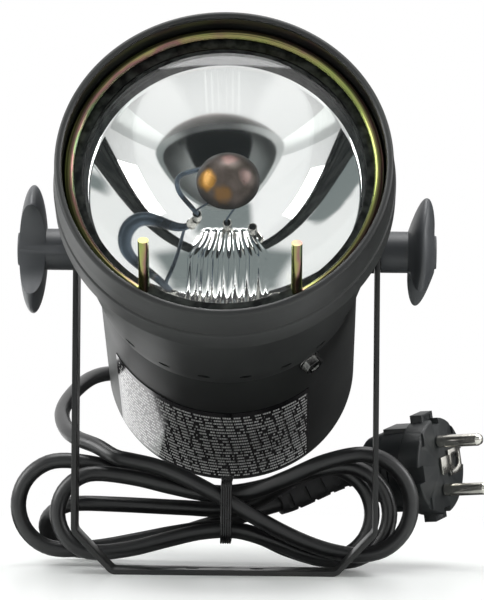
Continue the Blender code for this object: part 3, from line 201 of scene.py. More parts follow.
TABLE = 4
table = flat_sheet("table", [(TABLE * x, TABLE * y, 0) for x, y in ((-1, -1), (1, -1), (1, 1), (-1, 1))])
white_top, top = new_material("white_table")
paper = top.nodes["Principled BSDF"]
set_inlets(top, paper, {"Base Color": (0.93, 0.955, 0.93, 1), "Roughness": 0.32})
table_ray = top.nodes.new("ShaderNodeLightPath").outputs
from_light = distance(top, add_node(top, "ShaderNodeNewGeometry", outlet="Position"), (0.0, 0.05, 0))
burnt_out = product(top, spread(top, from_light, 0.05, 0.26), table_ray["Is Camera Ray"])
dim_paper = add_node(top, "ShaderNodeBsdfDiffuse", {"Color": (0.42, 0.43, 0.42, 1)})
bounced = mixed(top, table_ray["Is Diffuse Ray"], paper.outputs[0], dim_paper)
top.links.new(mixed(top, burnt_out, bounced, add_node(top, "ShaderNodeEmission")),
              top.nodes["Material Output"].inputs["Surface"])
table.data.materials.append(white_top)


# The mains cord is one length of 6 mm black sheathed cable. It leaves the gland behind the head, swings round
# the left of the yoke, and is wound in three turns of a figure eight whose waist is drawn together by a tie.
CORD = 6.0
CORD_GAP = 0.3
TILT = radians(25.2)
PIVOT = Vector((0, 0, 120.5))
GLAND_TIP = 138.3
LEAD_ROUTE = (
    (-7.0, 141.0, 57.5), (-20.0, 147.0, 60.5), (-35.0, 141.5, 66.0), (-47.0, 126.0, 70.0),
    (-56.0, 107.0, 69.0), (-62.5, 86.0, 63.5), (-65.5, 66.0, 57.0), (-63.0, 48.0, 51.5),
    (-58.0, 36.0, 48.2), (-49.5, 26.0, 45.6),
)
HANK_START = Vector((-36.0, 18.4, 40.7))
FOLDS = (
    (1, 70.0, 19.0, 13.5, 6.2, 0.0),
    (-1, 64.0, 15.0, 20.5, 5.6, 0.0),
    (1, 62.0, 18.0, 20.5, 3.2, 0.0),
    (-1, 79.5, 17.0, 27.5, 6.0, 0.0),
    (1, 55.5, 17.5, 27.5, 3.2, 0.0),
    (-1, 70.0, 14.0, 44.4, 3.4, 45.0),
)
WAIST_HEIGHTS = (27.8, 14.6, 28.2, 14.8, 21.6)
FOLD_POINTS = 7
RUN_POINTS = 6
CROSSING_POINTS = 9
CROSSING_FALL = 0.3
CROSSING_FORWARD = 0.42
CLIMB_FROM = 38.0
HANK_TAIL = ((-42.0, 50.8, 4.6), (-24.0, 44.6, 9.4), (-8.0, 40.2, 14.8), (5.0, 40.6, 18.4))
TAIL_SPACING = 7.0
CORD_SPACING = 2.4
CURVE_STEPS = 16
RELIEF_TIP = Vector((20.0, 46.0, 23.0))
RELIEF_WAY = Vector((-0.90, -0.36, -0.25)).normalized()


def smooth_route(stops, spacing):
    """Even points on a smooth curve through all the stops."""
    stops = [Vector(stop) for stop in stops]
    ends = [2 * stops[0] - stops[1]] + stops + [2 * stops[-1] - stops[-2]]
    fine = []
    for before, here, after, later in zip(ends, ends[1:], ends[2:], ends[3:]):
        for i in range(CURVE_STEPS):
            t = i / CURVE_STEPS
            fine.append(0.5 * (2 * here + (after - before) * t
                               + (2 * before - 5 * here + 4 * after - later) * t ** 2
                               + (3 * here - before - 3 * after + later) * t ** 3))
    fine.append(stops[-1])
    run = [0.0]
    for one, two in zip(fine, fine[1:]):
        run.append(run[-1] + (two - one).length)
    count = max(2, round(run[-1] / spacing))
    points = []
    k = 0
    for i in range(count + 1):
        goal = run[-1] * i / count
        while k < len(run) - 2 and run[k + 1] < goal:
            k += 1
        points.append(fine[k].lerp(fine[k + 1], (goal - run[k]) / (run[k + 1] - run[k])))
    return points


def ease(t):
    """Rises smoothly from 0 to 1."""
    t = max(0.0, min(1.0, t))
    return t * t * (3 - 2 * t)


def fold_points(side, reach, radius, back, low, lean):
    """Half turn at one end of the hank: its side, reach, radius, place back, lowest height and lean."""
    lean = radians(lean)
    centre_z = low + radius * cos(lean)
    points = []
    for i in range(FOLD_POINTS):
        angle = side * (pi * i / (FOLD_POINTS - 1) - pi / 2)
        rise = radius * sin(angle)
        points.append(Vector((side * (reach - radius + radius * cos(angle)),
                              back - rise * sin(lean), centre_z + rise * cos(lean))))
    return points


def waist_run(start, end, waist):
    """Run from one fold to the next, drawn to the waist's height at the tie."""
    way = end - start
    middle = -start.x / way.x
    points = []
    for i in range(1, RUN_POINTS + 1):
        t = i / (RUN_POINTS + 1)
        x = start.x + way.x * t
        y = start.y + way.y * ease(1 + copysign(1, way.x) * x / CLIMB_FROM)
        z = start.z + (waist - start.z) * ease(t / middle) + (end.z - waist) * ease((t - middle) / (1 - middle))
        points.append(Vector((x, y, z)))
    return points


def hank_points():
    """The hank as one line: in across the tie, three turns, and out to the plug's bending relief."""
    folds = [fold_points(*fold) for fold in FOLDS]
    across = folds[0][0] - HANK_START
    points = []
    for i in range(CROSSING_POINTS):
        t = i / CROSSING_POINTS
        points.append(HANK_START + Vector((across.x * t, across.y * ease(t / CROSSING_FORWARD),
                                           across.z * (ease(t) + CROSSING_FALL * t * (1 - t) ** 2))))
    for i, fold in enumerate(folds):
        points += fold
        if i + 1 < len(folds):
            points += waist_run(fold[-1], folds[i + 1][0], WAIST_HEIGHTS[i])
    stops = [points[-2], points[-1]] + list(HANK_TAIL)
    stops += [RELIEF_TIP + RELIEF_WAY * (CORD + CORD_GAP), RELIEF_TIP + RELIEF_WAY * CORD_GAP]
    return points[:-2] + smooth_route(stops, TAIL_SPACING)


def swept(name, points, radius, resolution=6):
    """Curve of one open line of points in millimetres, with a round section and filled ends."""
    curve = bpy.data.curves.new(name, "CURVE")
    curve.dimensions = "3D"
    curve.bevel_depth = radius * MM
    curve.bevel_resolution = resolution
    curve.use_fill_caps = True
    line = curve.splines.new("POLY")
    line.points.add(len(points) - 1)
    for knot, point in zip(line.points, points):
        knot.co = (*(Vector(point) * MM), 1)
    line.use_smooth = True
    return curve


def finish(name, colour, tint, roughness, metallic=0.0, patch=60.0, grain=1800.0, relief=0.00002, uneven=0.06,
           grain_strength=0.35, specular=0.5):
    """Material of a maker's finish: uneven colour, uneven gloss and a fine grain in the surface."""
    material, tree = new_material(name)
    where = add_node(tree, "ShaderNodeTexCoord", outlet="Object")
    clouds = add_node(tree, "ShaderNodeTexNoise", {"Vector": where, "Scale": patch, "Detail": 5})
    fine = add_node(tree, "ShaderNodeTexNoise", {"Vector": where, "Scale": grain, "Detail": 3})
    gloss = spread(tree, clouds, 0.3, 0.7, max(0.02, roughness - uneven), roughness + uneven, "LINEAR")
    bump = add_node(tree, "ShaderNodeBump", {"Strength": grain_strength, "Distance": relief, "Height": fine})
    set_inlets(tree, tree.nodes["Principled BSDF"], {
        "Base Color": colour_band(tree, clouds, (0.38, colour), (0.66, tint)),
        "Metallic": metallic, "Roughness": gloss, "Specular IOR Level": specular, "Normal": bump})
    return material


def add_piece(data, material, body, slot, *stands_for):
    """Puts a made piece into the scene with its finish and hangs it on its CAD body."""
    piece = new_object(data.name, data)
    data.materials.append(material)
    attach(piece, body)
    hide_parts(*stands_for)
    return piece


backwards = Vector((0, cos(TILT), -sin(TILT)))
cord_exit = PIVOT + backwards * (GLAND_TIP + CORD_GAP)
hank = hank_points()
into_hank = (hank[1] - hank[0]).normalized()
lead = [cord_exit, cord_exit + backwards * CORD] + list(LEAD_ROUTE) + [hank[0] - into_hank * (CORD + CORD_GAP)]
cord_line = smooth_route(lead + hank, CORD_SPACING)
black_sheath = finish("black_sheath", (0.010, 0.010, 0.011), (0.020, 0.021, 0.021), 0.34, patch=90, grain=2600,
                      relief=0.00003, specular=0.6)
mains_cord = add_piece(swept("mains_cord", cord_line, CORD / 2), black_sheath, "yoke", "black_cord", "cord_lead",
                       "cord_hank")


# The tie is thin plastic-covered wire, wound five times round the waist of the hank and drawn tight, so that it
# holds the turns of the cord together.
TIE_WIRE = 0.42
TIE_WIDTH = 4.2
TIE_TURNS = 5
TIE_CORNERS = ((40.6, 29.8, 90), (40.6, 14.2, 0), (13.5, 14.2, -90), (13.5, 29.8, 180))
TIE_REACH = 3.45 + TIE_WIRE
tie_loop = []
for corner_y, corner_z, begin in TIE_CORNERS:
    for i in range(7):
        turn = radians(begin - 15 * i)
        tie_loop.append((corner_y + TIE_REACH * cos(turn), corner_z + TIE_REACH * sin(turn)))
tie_steps = TIE_TURNS * len(tie_loop)
tie_line = [Vector((TIE_WIDTH * (i / tie_steps - 0.5), *tie_loop[i % len(tie_loop)])) for i in range(tie_steps + 1)]
tie_cover = finish("tie_wire", (0.008, 0.008, 0.009), (0.02, 0.02, 0.02), 0.30, patch=300, grain=3000)
add_piece(swept("tie_wire", tie_line, TIE_WIRE, 4), tie_cover, "yoke", "black_plastic", "cord_tie")


# The plug is one black moulding with a round collar round its face, two tabs, two side notches and a thick
# grip. Its two round pins and its pierced earth plate are nickel-plated brass pressed into the face.
PLUG_FACE = Vector((82.0, 34.0, 39.0))
PLUG_AXIS = Vector((0.86, -0.50, 0.08)).normalized()
PLUG_RADIUS = 18.5
PLUG_COLLAR = 9.0
PLUG_LENGTH = 31.0
PLUG_LEAN = Vector((-0.16, -0.10, 0.98))
PIN_SPREAD = 9.5
GRIP_RIBS = 4
CREASE = 35
JOIN = "UNION"
CUT = "DIFFERENCE"
plug_up = (PLUG_LEAN - PLUG_AXIS * PLUG_LEAN.dot(PLUG_AXIS)).normalized()
plug_side = plug_up.cross(PLUG_AXIS)
plug_place = Matrix.Translation(PLUG_FACE * MM) @ Matrix((plug_side, -PLUG_AXIS, plug_up)).transposed().to_4x4()


def axial(station, x=0.0, up=0.0):
    """Point of a turned piece's own frame, in metres: forwards along its axis, to the right and up."""
    return Vector((x * MM, -station * MM, up * MM))


def off_axis(point):
    """Distance of a point from a turned piece's axis, in millimetres."""
    return hypot(point.x, point.z) / MM


def turned(outline, steps):
    """Closed bmesh turned about the axis from (station, radius) points."""
    shape = bmesh.new()
    points = [shape.verts.new(axial(station, 0, radius)) for station, radius in outline]
    pairs = list(zip(points, points[1:]))
    if outline[0][1] > 0 or outline[-1][1] > 0:
        pairs.append((points[-1], points[0]))
    edges = [shape.edges.new(pair) for pair in pairs]
    bmesh.ops.spin(shape, geom=points + edges, cent=(0, 0, 0), axis=(0, 1, 0), angle=tau, steps=steps,
                   use_merge=True)
    bmesh.ops.remove_doubles(shape, verts=shape.verts, dist=1e-6)
    return shape


def rods(*measures, sides=32):
    """Cylinders or cones, each between two points in metres, with one or two radii in millimetres."""
    shape = bmesh.new()
    for start, end, *radii in measures:
        line = end - start
        place = Matrix.Translation((start + end) / 2) @ line.to_track_quat("Z", "Y").to_matrix().to_4x4()
        bmesh.ops.create_cone(shape, cap_ends=True, segments=sides, radius1=radii[0] * MM, radius2=radii[-1] * MM,
                              depth=line.length, matrix=place)
    return shape


def blocks(*measures):
    """Boxes, each with its centre in metres, its size in millimetres and, if it's turned, its turn."""
    shape = bmesh.new()
    for centre, size, *turn in measures:
        place = Matrix.Translation(centre) @ (turn or [Matrix()])[0] @ Matrix.Diagonal((*(Vector(size) * MM), 1))
        bmesh.ops.create_cube(shape, size=1, matrix=place)
    return shape


def settle(name, shape, place=None, crease=CREASE):
    """Mesh from a bmesh, laid in its place, with its faces outwards and its round faces smooth."""
    if place:
        bmesh.ops.transform(shape, matrix=place, verts=shape.verts)
    bmesh.ops.recalc_face_normals(shape, faces=shape.faces)
    mesh = bpy.data.meshes.new(name)
    shape.to_mesh(mesh)
    shape.free()
    mesh.shade_smooth()
    mesh.set_sharp_from_angle(angle=radians(crease))
    return mesh


def carve(name, shape, steps, place=None, bevel=0.0):
    """Joins other shapes to a shape or cuts them from it, rounds its edges and lays the mesh in its place."""
    body = new_object("work_piece", settle("work_piece", shape))
    tools = []
    for operation, tool in steps:
        tools.append(new_object("work_tool", settle("work_tool", tool)))
        modifier = body.modifiers.new(operation.title(), "BOOLEAN")
        modifier.operation = operation
        modifier.object = tools[-1]
    if bevel:
        modifier = body.modifiers.new("Bevel", "BEVEL")
        modifier.width = bevel * MM
        modifier.segments = 2
        modifier.limit_method = "ANGLE"
        modifier.angle_limit = radians(40)
    bpy.context.view_layer.update()
    done = bpy.data.meshes.new_from_object(body.evaluated_get(bpy.context.evaluated_depsgraph_get()))
    done.name = name
    done.shade_smooth()
    done.set_sharp_from_angle(angle=radians(CREASE))
    for thing in [body] + tools:
        bpy.data.objects.remove(thing)
    if place:
        done.transform(place)
    return done


def rounded(corners, radius, steps=5):
    """Outline of (a, b) points whose inner corners become arcs."""
    corners = [Vector(corner) for corner in corners]
    path = [corners[0]]
    for before, corner, after in zip(corners, corners[1:], corners[2:]):
        back = (before - corner).normalized()
        on = (after - corner).normalized()
        half = back.angle(on) / 2
        room = min((before - corner).length, (after - corner).length) * 0.49
        size = min(radius, room * tan(half))
        centre = corner + (back + on).normalized() * (size / sin(half))
        first = (corner + back * size / tan(half) - centre).normalized()
        last = (corner + on * size / tan(half) - centre).normalized()
        for i in range(steps + 1):
            path.append(centre + first.slerp(last, i / steps).normalized() * size)
    path.append(corners[-1])
    return path


plug_outline = rounded([(0, 0), (0, PLUG_RADIUS), (-PLUG_COLLAR, PLUG_RADIUS), (-PLUG_COLLAR, 16.0),
                        (-20, 15.2), (-29, 12.4), (-PLUG_LENGTH, 9.5), (-PLUG_LENGTH, 0)], 0.8)
tabs = blocks((axial(-5.7), (9.0, 5.0, 41.6)), (axial(-14.0), (11.0, 12.0, 32.4)))
cuts = []
for side in (-1, 1):
    cuts += [(axial(-1.8, side * PLUG_RADIUS), (8.4, 12.6, 6.4)), (axial(0, 0, side * 18.0), (5.2, 7.0, 4.0)),
             (axial(0, side * 12.0, side * 13.0), (2.2, 1.6, 6.0)),
             (axial(0, -side * 12.0, side * 13.0), (2.2, 1.6, 6.0))]
cuts += [(axial(-15.0 - 3.0 * i, side * 15.6), (1.6, 1.2, 15.0)) for i in range(GRIP_RIBS) for side in (-1, 1)]
plug_mesh = carve("plug_moulding", turned(plug_outline, 96), ((JOIN, tabs), (CUT, blocks(*cuts))),
                  plug_place, 0.35)
plug_black = finish("plug_black", (0.009, 0.011, 0.012), (0.017, 0.020, 0.021), 0.46, patch=70, grain=1500,
                    relief=0.00005, grain_strength=0.6)
plug = add_piece(plug_mesh, plug_black, "yoke", "black_plastic", "plug_body")

nickel = finish("nickel_plate", (0.60, 0.585, 0.54), (0.74, 0.72, 0.66), 0.20, metallic=1.0, patch=220, grain=2600,
                relief=0.00001)
pin_outline = rounded([(0.3, 0), (0.3, 2.4), (17.2, 2.4), (18.6, 1.7), (19.0, 0.8), (19.0, 0)], 0.5)
plug_parts = []
for i, side in ((1, 1), (2, -1)):
    pin_place = plug_place @ Matrix.Translation(axial(0, 0, side * PIN_SPREAD))
    pin = settle(f"plug_pin_{i}_shown", turned(pin_outline, 40), pin_place)
    plug_parts.append(add_piece(pin, nickel, "yoke", "nickel", f"plug_pin_{i}"))
plate = blocks((axial(0.7, 9.8), (9.6, 0.8, 10.0)), (axial(0.7, 2.4), (7.4, 0.8, 6.6)))
plate_hole = rods((axial(-4, 10.2), axial(6, 10.2), 2.6))
plate_mesh = carve("earth_plate", plate, [(CUT, plate_hole)], plug_place, 0.15)
plug_parts.append(add_piece(plate_mesh, nickel, "yoke", "nickel", "plug_earth_plate"))


# The bending relief is moulded on to the plug in soft black rubber. It tapers along the cord and is cut by
# short windows, turn and turn about from above and from the sides, so that it bends but doesn't kink.
RELIEF_RADII = (6.0, 4.3)
RELIEF_STRAIGHT = 3.0
RELIEF_PULL = 12.0
RELIEF_RINGS = 44
RELIEF_SIDES = 32
relief_start = PLUG_FACE - PLUG_AXIS * (PLUG_LENGTH + 0.3)
relief_root = relief_start - PLUG_AXIS * RELIEF_STRAIGHT
relief_near = relief_root - PLUG_AXIS * RELIEF_PULL
relief_far = RELIEF_TIP - RELIEF_WAY * RELIEF_PULL
relief_line = [relief_start]
for i in range(RELIEF_RINGS):
    t = i / (RELIEF_RINGS - 1)
    relief_line.append(relief_root * (1 - t) ** 3 + relief_near * 3 * t * (1 - t) ** 2
                       + relief_far * 3 * t * t * (1 - t) + RELIEF_TIP * t ** 3)


def skin(shape, rows):
    """Closes rows of corner points into one body with two flat ends."""
    for one, two in zip(rows, rows[1:]):
        for k in range(len(one)):
            after = (k + 1) % len(one)
            shape.faces.new((one[k], one[after], two[after], two[k]))
    shape.faces.new(rows[0])
    shape.faces.new(rows[-1])


relief_shape = bmesh.new()
rings = []
windows = []
relief_side = plug_side.copy()
for i, point in enumerate(relief_line):
    run = (relief_line[min(i + 1, RELIEF_RINGS)] - relief_line[max(i - 1, 0)]).normalized()
    relief_side = (relief_side - run * relief_side.dot(run)).normalized()
    rise = run.cross(relief_side)
    radius = RELIEF_RADII[0] + (RELIEF_RADII[1] - RELIEF_RADII[0]) * i / RELIEF_RINGS
    turns = [tau * k / RELIEF_SIDES for k in range(RELIEF_SIDES)]
    rings.append([relief_shape.verts.new((point + (relief_side * cos(turn) + rise * sin(turn)) * radius)
                                         * MM) for turn in turns])
    if i % 4 == 0 and 6 < i < RELIEF_RINGS - 2:
        window_turn = Matrix((relief_side, run, rise)).transposed().to_4x4()
        outwards, window = (rise, (5.6, 1.9, 3.6)) if i % 8 else (relief_side, (3.6, 1.9, 5.6))
        windows += [((point + outwards * side * (radius + 0.6)) * MM, window, window_turn) for side in (-1, 1)]
skin(relief_shape, rings)
relief_mesh = carve("bending_relief", relief_shape, [(CUT, blocks(*windows))])
rubber = finish("soft_rubber", (0.011, 0.011, 0.012), (0.02, 0.02, 0.021), 0.5, patch=80, grain=1500,
                relief=0.00004)
plug_parts += [add_piece(relief_mesh, rubber, "yoke", "black_rubber", "plug_relief"), plug]


# The yoke is one strip of 1.8 mm steel, bent four times, with rounded ends, a hole in each arm and two in the
# foot. It is powder-coated satin black; the edges of the strip are a little rounded.
YOKE_PLATE = 1.8
YOKE_OUT = 57.0
YOKE_ARM = YOKE_OUT - YOKE_PLATE / 2
YOKE_FOOT = 41.66
YOKE_HALF = 10.0
yoke_path = rounded([(-YOKE_ARM, PIVOT.z), (-YOKE_ARM, 16.0), (-YOKE_FOOT, YOKE_PLATE / 2),
                     (YOKE_FOOT, YOKE_PLATE / 2), (YOKE_ARM, 16.0), (YOKE_ARM, PIVOT.z)], 3.5, 8)
yoke_widths = [YOKE_HALF] * len(yoke_path)
for i in range(1, 22):
    turn = radians(4 * i)
    height = PIVOT.z + YOKE_HALF * sin(turn)
    yoke_path = [Vector((-YOKE_ARM, height))] + yoke_path + [Vector((YOKE_ARM, height))]
    yoke_widths = [YOKE_HALF * cos(turn)] + yoke_widths + [YOKE_HALF * cos(turn)]
yoke_shape = bmesh.new()
rows = []
for i, point in enumerate(yoke_path):
    before = (point - yoke_path[i - 1]).normalized() if i else (yoke_path[1] - point).normalized()
    after = (yoke_path[i + 1] - point).normalized() if i + 1 < len(yoke_path) else before
    run = (before + after).normalized()
    out = Vector((-run.y, run.x)) * (YOKE_PLATE / 2 / max(0.5, run.dot(before)))
    corners = ((point + out, -1), (point + out, 1), (point - out, 1), (point - out, -1))
    rows.append([yoke_shape.verts.new(Vector((at.x, way * yoke_widths[i], at.y)) * MM) for at, way in corners])
skin(yoke_shape, rows)
yoke_holes = []
for side in (-1, 1):
    yoke_holes += [(Vector((side * 51, 0, PIVOT.z)) * MM, Vector((side * 63, 0, PIVOT.z)) * MM, 3.2),
                   (Vector((side * 12, 0, -4)) * MM, Vector((side * 12, 0, 8)) * MM, 2.6)]
yoke_mesh = carve("yoke_strip", yoke_shape, [(CUT, rods(*yoke_holes))], bevel=0.3)
yoke_coat = finish("yoke_coat", (0.010, 0.011, 0.011), (0.022, 0.022, 0.021), 0.34, patch=55, grain=1700,
                   relief=0.00003)
add_piece(yoke_mesh, yoke_coat, "yoke", "black_coat", "yoke_bracket")


# The front housing is spun from steel sheet: a rolled lip, a soft groove, a raised band and a long taper down
# to the can, with a row of pressed vent slots. It is powder-coated in satin black inside and out; the bore
# inside the lip is given a darker, glossier coat, whose darker colour is painted shade of the recess.
HEAD = Matrix.Translation(PIVOT * MM) @ Matrix.Rotation(-TILT, 4, "X")
BORE = 57.75
LIP = 1.275
LIP_STATION = 74.325
VENTS = 21
VENT_SIZE = (2.4, 1.5, 1.0, 1.0)
VENT_RADIUS = 51.0
STUD_HOLE = 2.8
housing_outline = [(LIP_STATION + LIP * sin(pi * i / 8), BORE + LIP - LIP * cos(pi * i / 8)) for i in range(9)]
housing_outline += rounded([(73.4, 60.32), (66.2, 60.85), (60.4, 61.05), (59.5, 60.6), (59.1, 61.5), (48.5, 61.5),
                            (48.2, 58.75), (42.0, 58.0), (22.0, 55.03), (6.0, 52.66), (1.5, 51.99), (-1.5, 51.54),
                            (-7.2, 50.7), (-7.2, 49.2), (18.6, 53.0), (44.4, 55.35), (57.7, 55.35), (57.7, BORE),
                            (73.6, BORE)], 0.8)
vents = bmesh.new()
for i in range(VENTS):
    angle = (i + 0.5) * 360 / VENTS
    if min(abs(angle - 90), abs(angle - 270)) > 15:
        turn = Matrix.Rotation(radians(-angle), 4, "Y")
        bmesh.ops.create_cone(vents, cap_ends=True, segments=24, radius1=MM, radius2=MM, depth=6 * MM, matrix=turn
                              @ Matrix.Translation(axial(0, 0, -VENT_RADIUS)) @ Matrix.Diagonal(VENT_SIZE))
stud_holes = rods(*[(axial(0, side * 40), axial(0, side * 61), STUD_HOLE) for side in (-1, 1)])
housing_mesh = carve("housing_shell", turned(housing_outline, 180), [(CUT, vents), (CUT, stud_holes)])
# Faces of the bore inside the lip take a second, darker and glossier coat; its darker colour is painted shade of
# the recess.
for face in housing_mesh.polygons:
    if off_axis(face.center) < BORE + 0.3 and -face.center.y > 57.8 * MM:
        face.material_index = 1
housing_mesh.transform(HEAD)
black_coat = finish("black_coat", (0.019, 0.020, 0.020), (0.027, 0.029, 0.028), 0.46, patch=40, grain=2200,
                    relief=0.00003, uneven=0.03, specular=0.4)
housing_shell = add_piece(housing_mesh, black_coat, "head", "black_coat", "front_housing")
housing_shell.visible_transmission = False
housing_mesh.materials.append(finish("bore_coat_with_painted_shade", (0.012, 0.013, 0.013), (0.02, 0.021, 0.02), 0.16, patch=50,
                                     grain=900))


# The rear can is drawn from sheet and slides into the housing's back. Its closed end has a rounded edge and
# carries the gland in the middle and the two screws of the transformer.
CAN = 48.9
CAN_WALL = 1.2
CAN_BACK = -111.0
GLAND_HOLE = 6.2
EARTH_STATION = -13.2
EARTH = radians(38.7)
earth_out = Vector((sin(EARTH), 0, -cos(EARTH)))
can_outline = rounded([(-1.8, CAN), (CAN_BACK, CAN), (CAN_BACK, GLAND_HOLE)], 4.0, 8)
can_outline += rounded([(CAN_BACK + CAN_WALL, GLAND_HOLE), (CAN_BACK + CAN_WALL, CAN - CAN_WALL),
                        (-1.8, CAN - CAN_WALL)], 2.8, 6)
can_cuts = []
for side in (-1, 1):
    can_cuts += [(axial(0, side * 40), axial(0, side * 60), 5.1),
                 (axial(-114, side * 33.0, 18.0), axial(-106, side * 33.0, 18.0), 1.8)]
earth_at = axial(EARTH_STATION)
can_cuts.append((earth_at + earth_out * 42.7 * MM, earth_at + earth_out * 54 * MM, 2.3))
can_mesh = carve("can_shell", turned(can_outline, 160), [(CUT, rods(*can_cuts))], HEAD)
add_piece(can_mesh, black_coat, "head", "black_coat", "rear_can")


# The sealed lamp is a pressed glass bowl, silvered inside with bright aluminium, with a bell of upright ribs
# pressed into it below the middle, and a clear domed lens fused to its rim.
MIRROR_EDGE = 49.0
MIRROR_REACH = MIRROR_EDGE * 0.589
MIRROR_VERTEX = 53.7 - MIRROR_REACH
MIRROR_STEPS = 56
GLASS_WALL = 1.75
BOWL_STEPS = 480
RIBS = 7
RIB_DEPTH = 0.55
RIBS_INSIDE = MIRROR_EDGE - 0.5
CAP_SIDE = 1.2
LENS_CLEAR = 51.7
LENS_WALL = 2.6
LENS_STEPS = 24


def mirror_station(radius):
    """Where the mirror's curve stands at a radius, along the lamp's axis."""
    return MIRROR_VERTEX + MIRROR_REACH * (radius / MIRROR_EDGE) ** 2


def second_finish(shape, beyond):
    """Leaves the faces beyond a radius to the piece's second finish."""
    for face in shape.faces:
        if off_axis(face.calc_center_median()) > beyond:
            face.material_index = 1


bowl_outline = [(mirror_station(MIRROR_EDGE * i / MIRROR_STEPS), MIRROR_EDGE * i / MIRROR_STEPS)
                for i in range(MIRROR_STEPS + 1)]
bowl_outline += [(54.5, 50.2), (55.4, 50.35), (55.6, 50.9), (56.6, 51.0), (56.8, 50.7), (57.8, 50.85), (58.0, 51.4),
                 (59.2, 51.5), (59.4, 51.1), (60.4, 51.3), (60.9, 51.9), (61.0, 57.15), (58.0, 57.15), (58.0, 52.9),
                 (54.2, 50.2)]
bowl_outline += [(mirror_station(r) - GLASS_WALL, r + GLASS_WALL) for r in (45, 40, 35, 30, 25, 20, 16)]
bowl_outline += [(20.5, 16.0), (17.5, 14.0), (17.5, 0.0)]
bowl = turned(bowl_outline, BOWL_STEPS)
for vert in bowl.verts:
    radius = off_axis(vert.co)
    low = -vert.co.z / MM
    bell = 9.5 + 5.0 * ease((low - 4.0) / 14.0)
    share_wide = (vert.co.x / MM - CAP_SIDE) / bell
    if low > 3.0 and radius < RIBS_INSIDE and -vert.co.y > 20 * MM and abs(share_wide) < 1:
        swell = ease((low - 3.0) / 2.0) * ease((1 - abs(share_wide)) / 0.06) * ease((RIBS_INSIDE - radius) / 2.5)
        vert.co.y -= RIB_DEPTH * MM * swell * abs(sin(pi * RIBS * (share_wide + 1) / 2))
second_finish(bowl, MIRROR_EDGE + 0.4)
mirror_mesh = settle("mirror_bowl", bowl, HEAD, 50)
bright = finish("bright_aluminium", (0.94, 0.95, 0.945), (0.965, 0.97, 0.965), 0.035, metallic=1.0, patch=30,
                grain=500, relief=0.000002, uneven=0.015, grain_strength=0.1)
add_piece(mirror_mesh, bright, "head", "mirror", "lamp_reflector")
# The glass round the rims of the bowl and the lens is made opaque and nearly black: painted shade of the dark
# recess behind the ring.
rim_glass_painted_shade = finish("glass_rim_painted_shade", (0.010, 0.011, 0.011), (0.05, 0.055, 0.05), 0.06, patch=260, grain=420,
                    relief=0.0003, uneven=0.03, grain_strength=0.6, specular=0.2)
mirror_mesh.materials.append(rim_glass_painted_shade)

lens_front = [(64.3 + 5.2 * (1 - (i / LENS_STEPS) ** 2), 53.15 * i / LENS_STEPS) for i in range(LENS_STEPS + 1)]
lens_back = [(station - LENS_WALL, radius) for station, radius in lens_front[:-1]]
lens_outline = lens_front + rounded([(64.3, 54.0), (64.3, 57.15), (61.3, 57.15), (61.3, 51.65)], 0.6, 4)[1:]
lens_shape = turned(lens_outline + lens_back[::-1], 180)
second_finish(lens_shape, LENS_CLEAR)
lens_mesh = settle("lens_glass", lens_shape, HEAD)
glass, tree = new_material("clear_glass")
glass_where = add_node(tree, "ShaderNodeTexCoord", outlet="Object")
glass_waves = add_node(tree, "ShaderNodeTexNoise", {"Vector": glass_where, "Scale": 45})
set_inlets(tree, tree.nodes["Principled BSDF"], {
    "Base Color": colour_band(tree, glass_waves, (0.0, (0.985, 0.995, 0.99)), (1.0, (0.995, 1.0, 0.997))),
    "Transmission Weight": 1.0, "Roughness": 0.0, "IOR": 1.47,
    "Normal": add_node(tree, "ShaderNodeBump", {"Strength": 0.25, "Distance": 0.0001, "Height": glass_waves})})
add_piece(lens_mesh, glass, "head", "clear_glass", "lamp_lens")
lens_mesh.materials.append(rim_glass_painted_shade)


# Inside the bulb, three eyelets hold the leads where they pass the bowl. Two thin leads carry the coiled
# filament, and a strap carries the domed bronze cap that hides it from the front. The cap's amber and rosy patches
# are partly heat tint and partly painted highlights and reflections, its colour darkens towards the rim as painted
# shade, and the middle of its inside is near-black painted shade. The eyelets' holes are near-black painted shade.
FERRULES = ((-10.5, 0.2), (0.5, -2.5), (9.8, -5.0))
EYELET = 1.7
EYELET_LENGTH = 3.6
CAP = 11.4
CAP_DEPTH = 7.0
CAP_WALL = 0.8
CAP_STEPS = 18
CAP_STATION = 56.0
CAP_RAISE = 0.9
CAP_SHADED_MIDDLE = (11.25, 6.3)
# Patches on the cap: partly heat tint, partly painted highlights and reflections, the amber and rosy glints of the
# shiny dome.
CAP_TINTS_AND_GLINTS = (((-8.2, -1.6), 2.2, 5.2, (0.62, 0.29, 0.02)), ((-1.6, -7.4), 1.2, 4.6, (0.26, 0.12, 0.015)),
              ((0.3, 6.6), 0.8, 4.4, (0.36, 0.20, 0.18)), ((6.8, -0.6), 0.9, 3.8, (0.30, 0.19, 0.17)))
CAP_PATCH_RAGGED = 0.006
FILAMENT_STATION = 46.0
FILAMENT_HALF = 4.2
STRAP = 0.9
LEAD_WIRE = 0.38
STRAP_ANGLE = radians(148)
ferrule_tops = []
# The faces deep inside each eyelet's hole take a near-black finish: painted shade.
pit_painted_shade = finish("pit_painted_shade", (0.004, 0.003, 0.003), (0.012, 0.009, 0.008), 0.7, patch=400)
for i, (x, up) in enumerate(FERRULES):
    base = mirror_station(hypot(x, up) + EYELET) + 0.3
    ferrule_tops.append(base + EYELET_LENGTH)
    outline = rounded([(base, 0), (base, EYELET), (base + 2.9, 1.5), (base + 3.3, EYELET),
                       (base + EYELET_LENGTH, 1.6), (base + EYELET_LENGTH, 1.3), (base + 1.0, 1.2),
                       (base + 1.0, 0)], 0.1, 3)
    eyelet = turned(outline, 32)
    for face in eyelet.faces:
        middle = face.calc_center_median()
        if off_axis(middle) < 1.27 and -middle.y > (base + 0.5) * MM:
            face.material_index = 1
    eyelet_mesh = settle(f"eyelet_{i + 1}", eyelet, HEAD @ Matrix.Translation(axial(0, x, up)))
    add_piece(eyelet_mesh, nickel, "head", "nickel", f"ferrule_{i + 1}")
    eyelet_mesh.materials.append(pit_painted_shade)

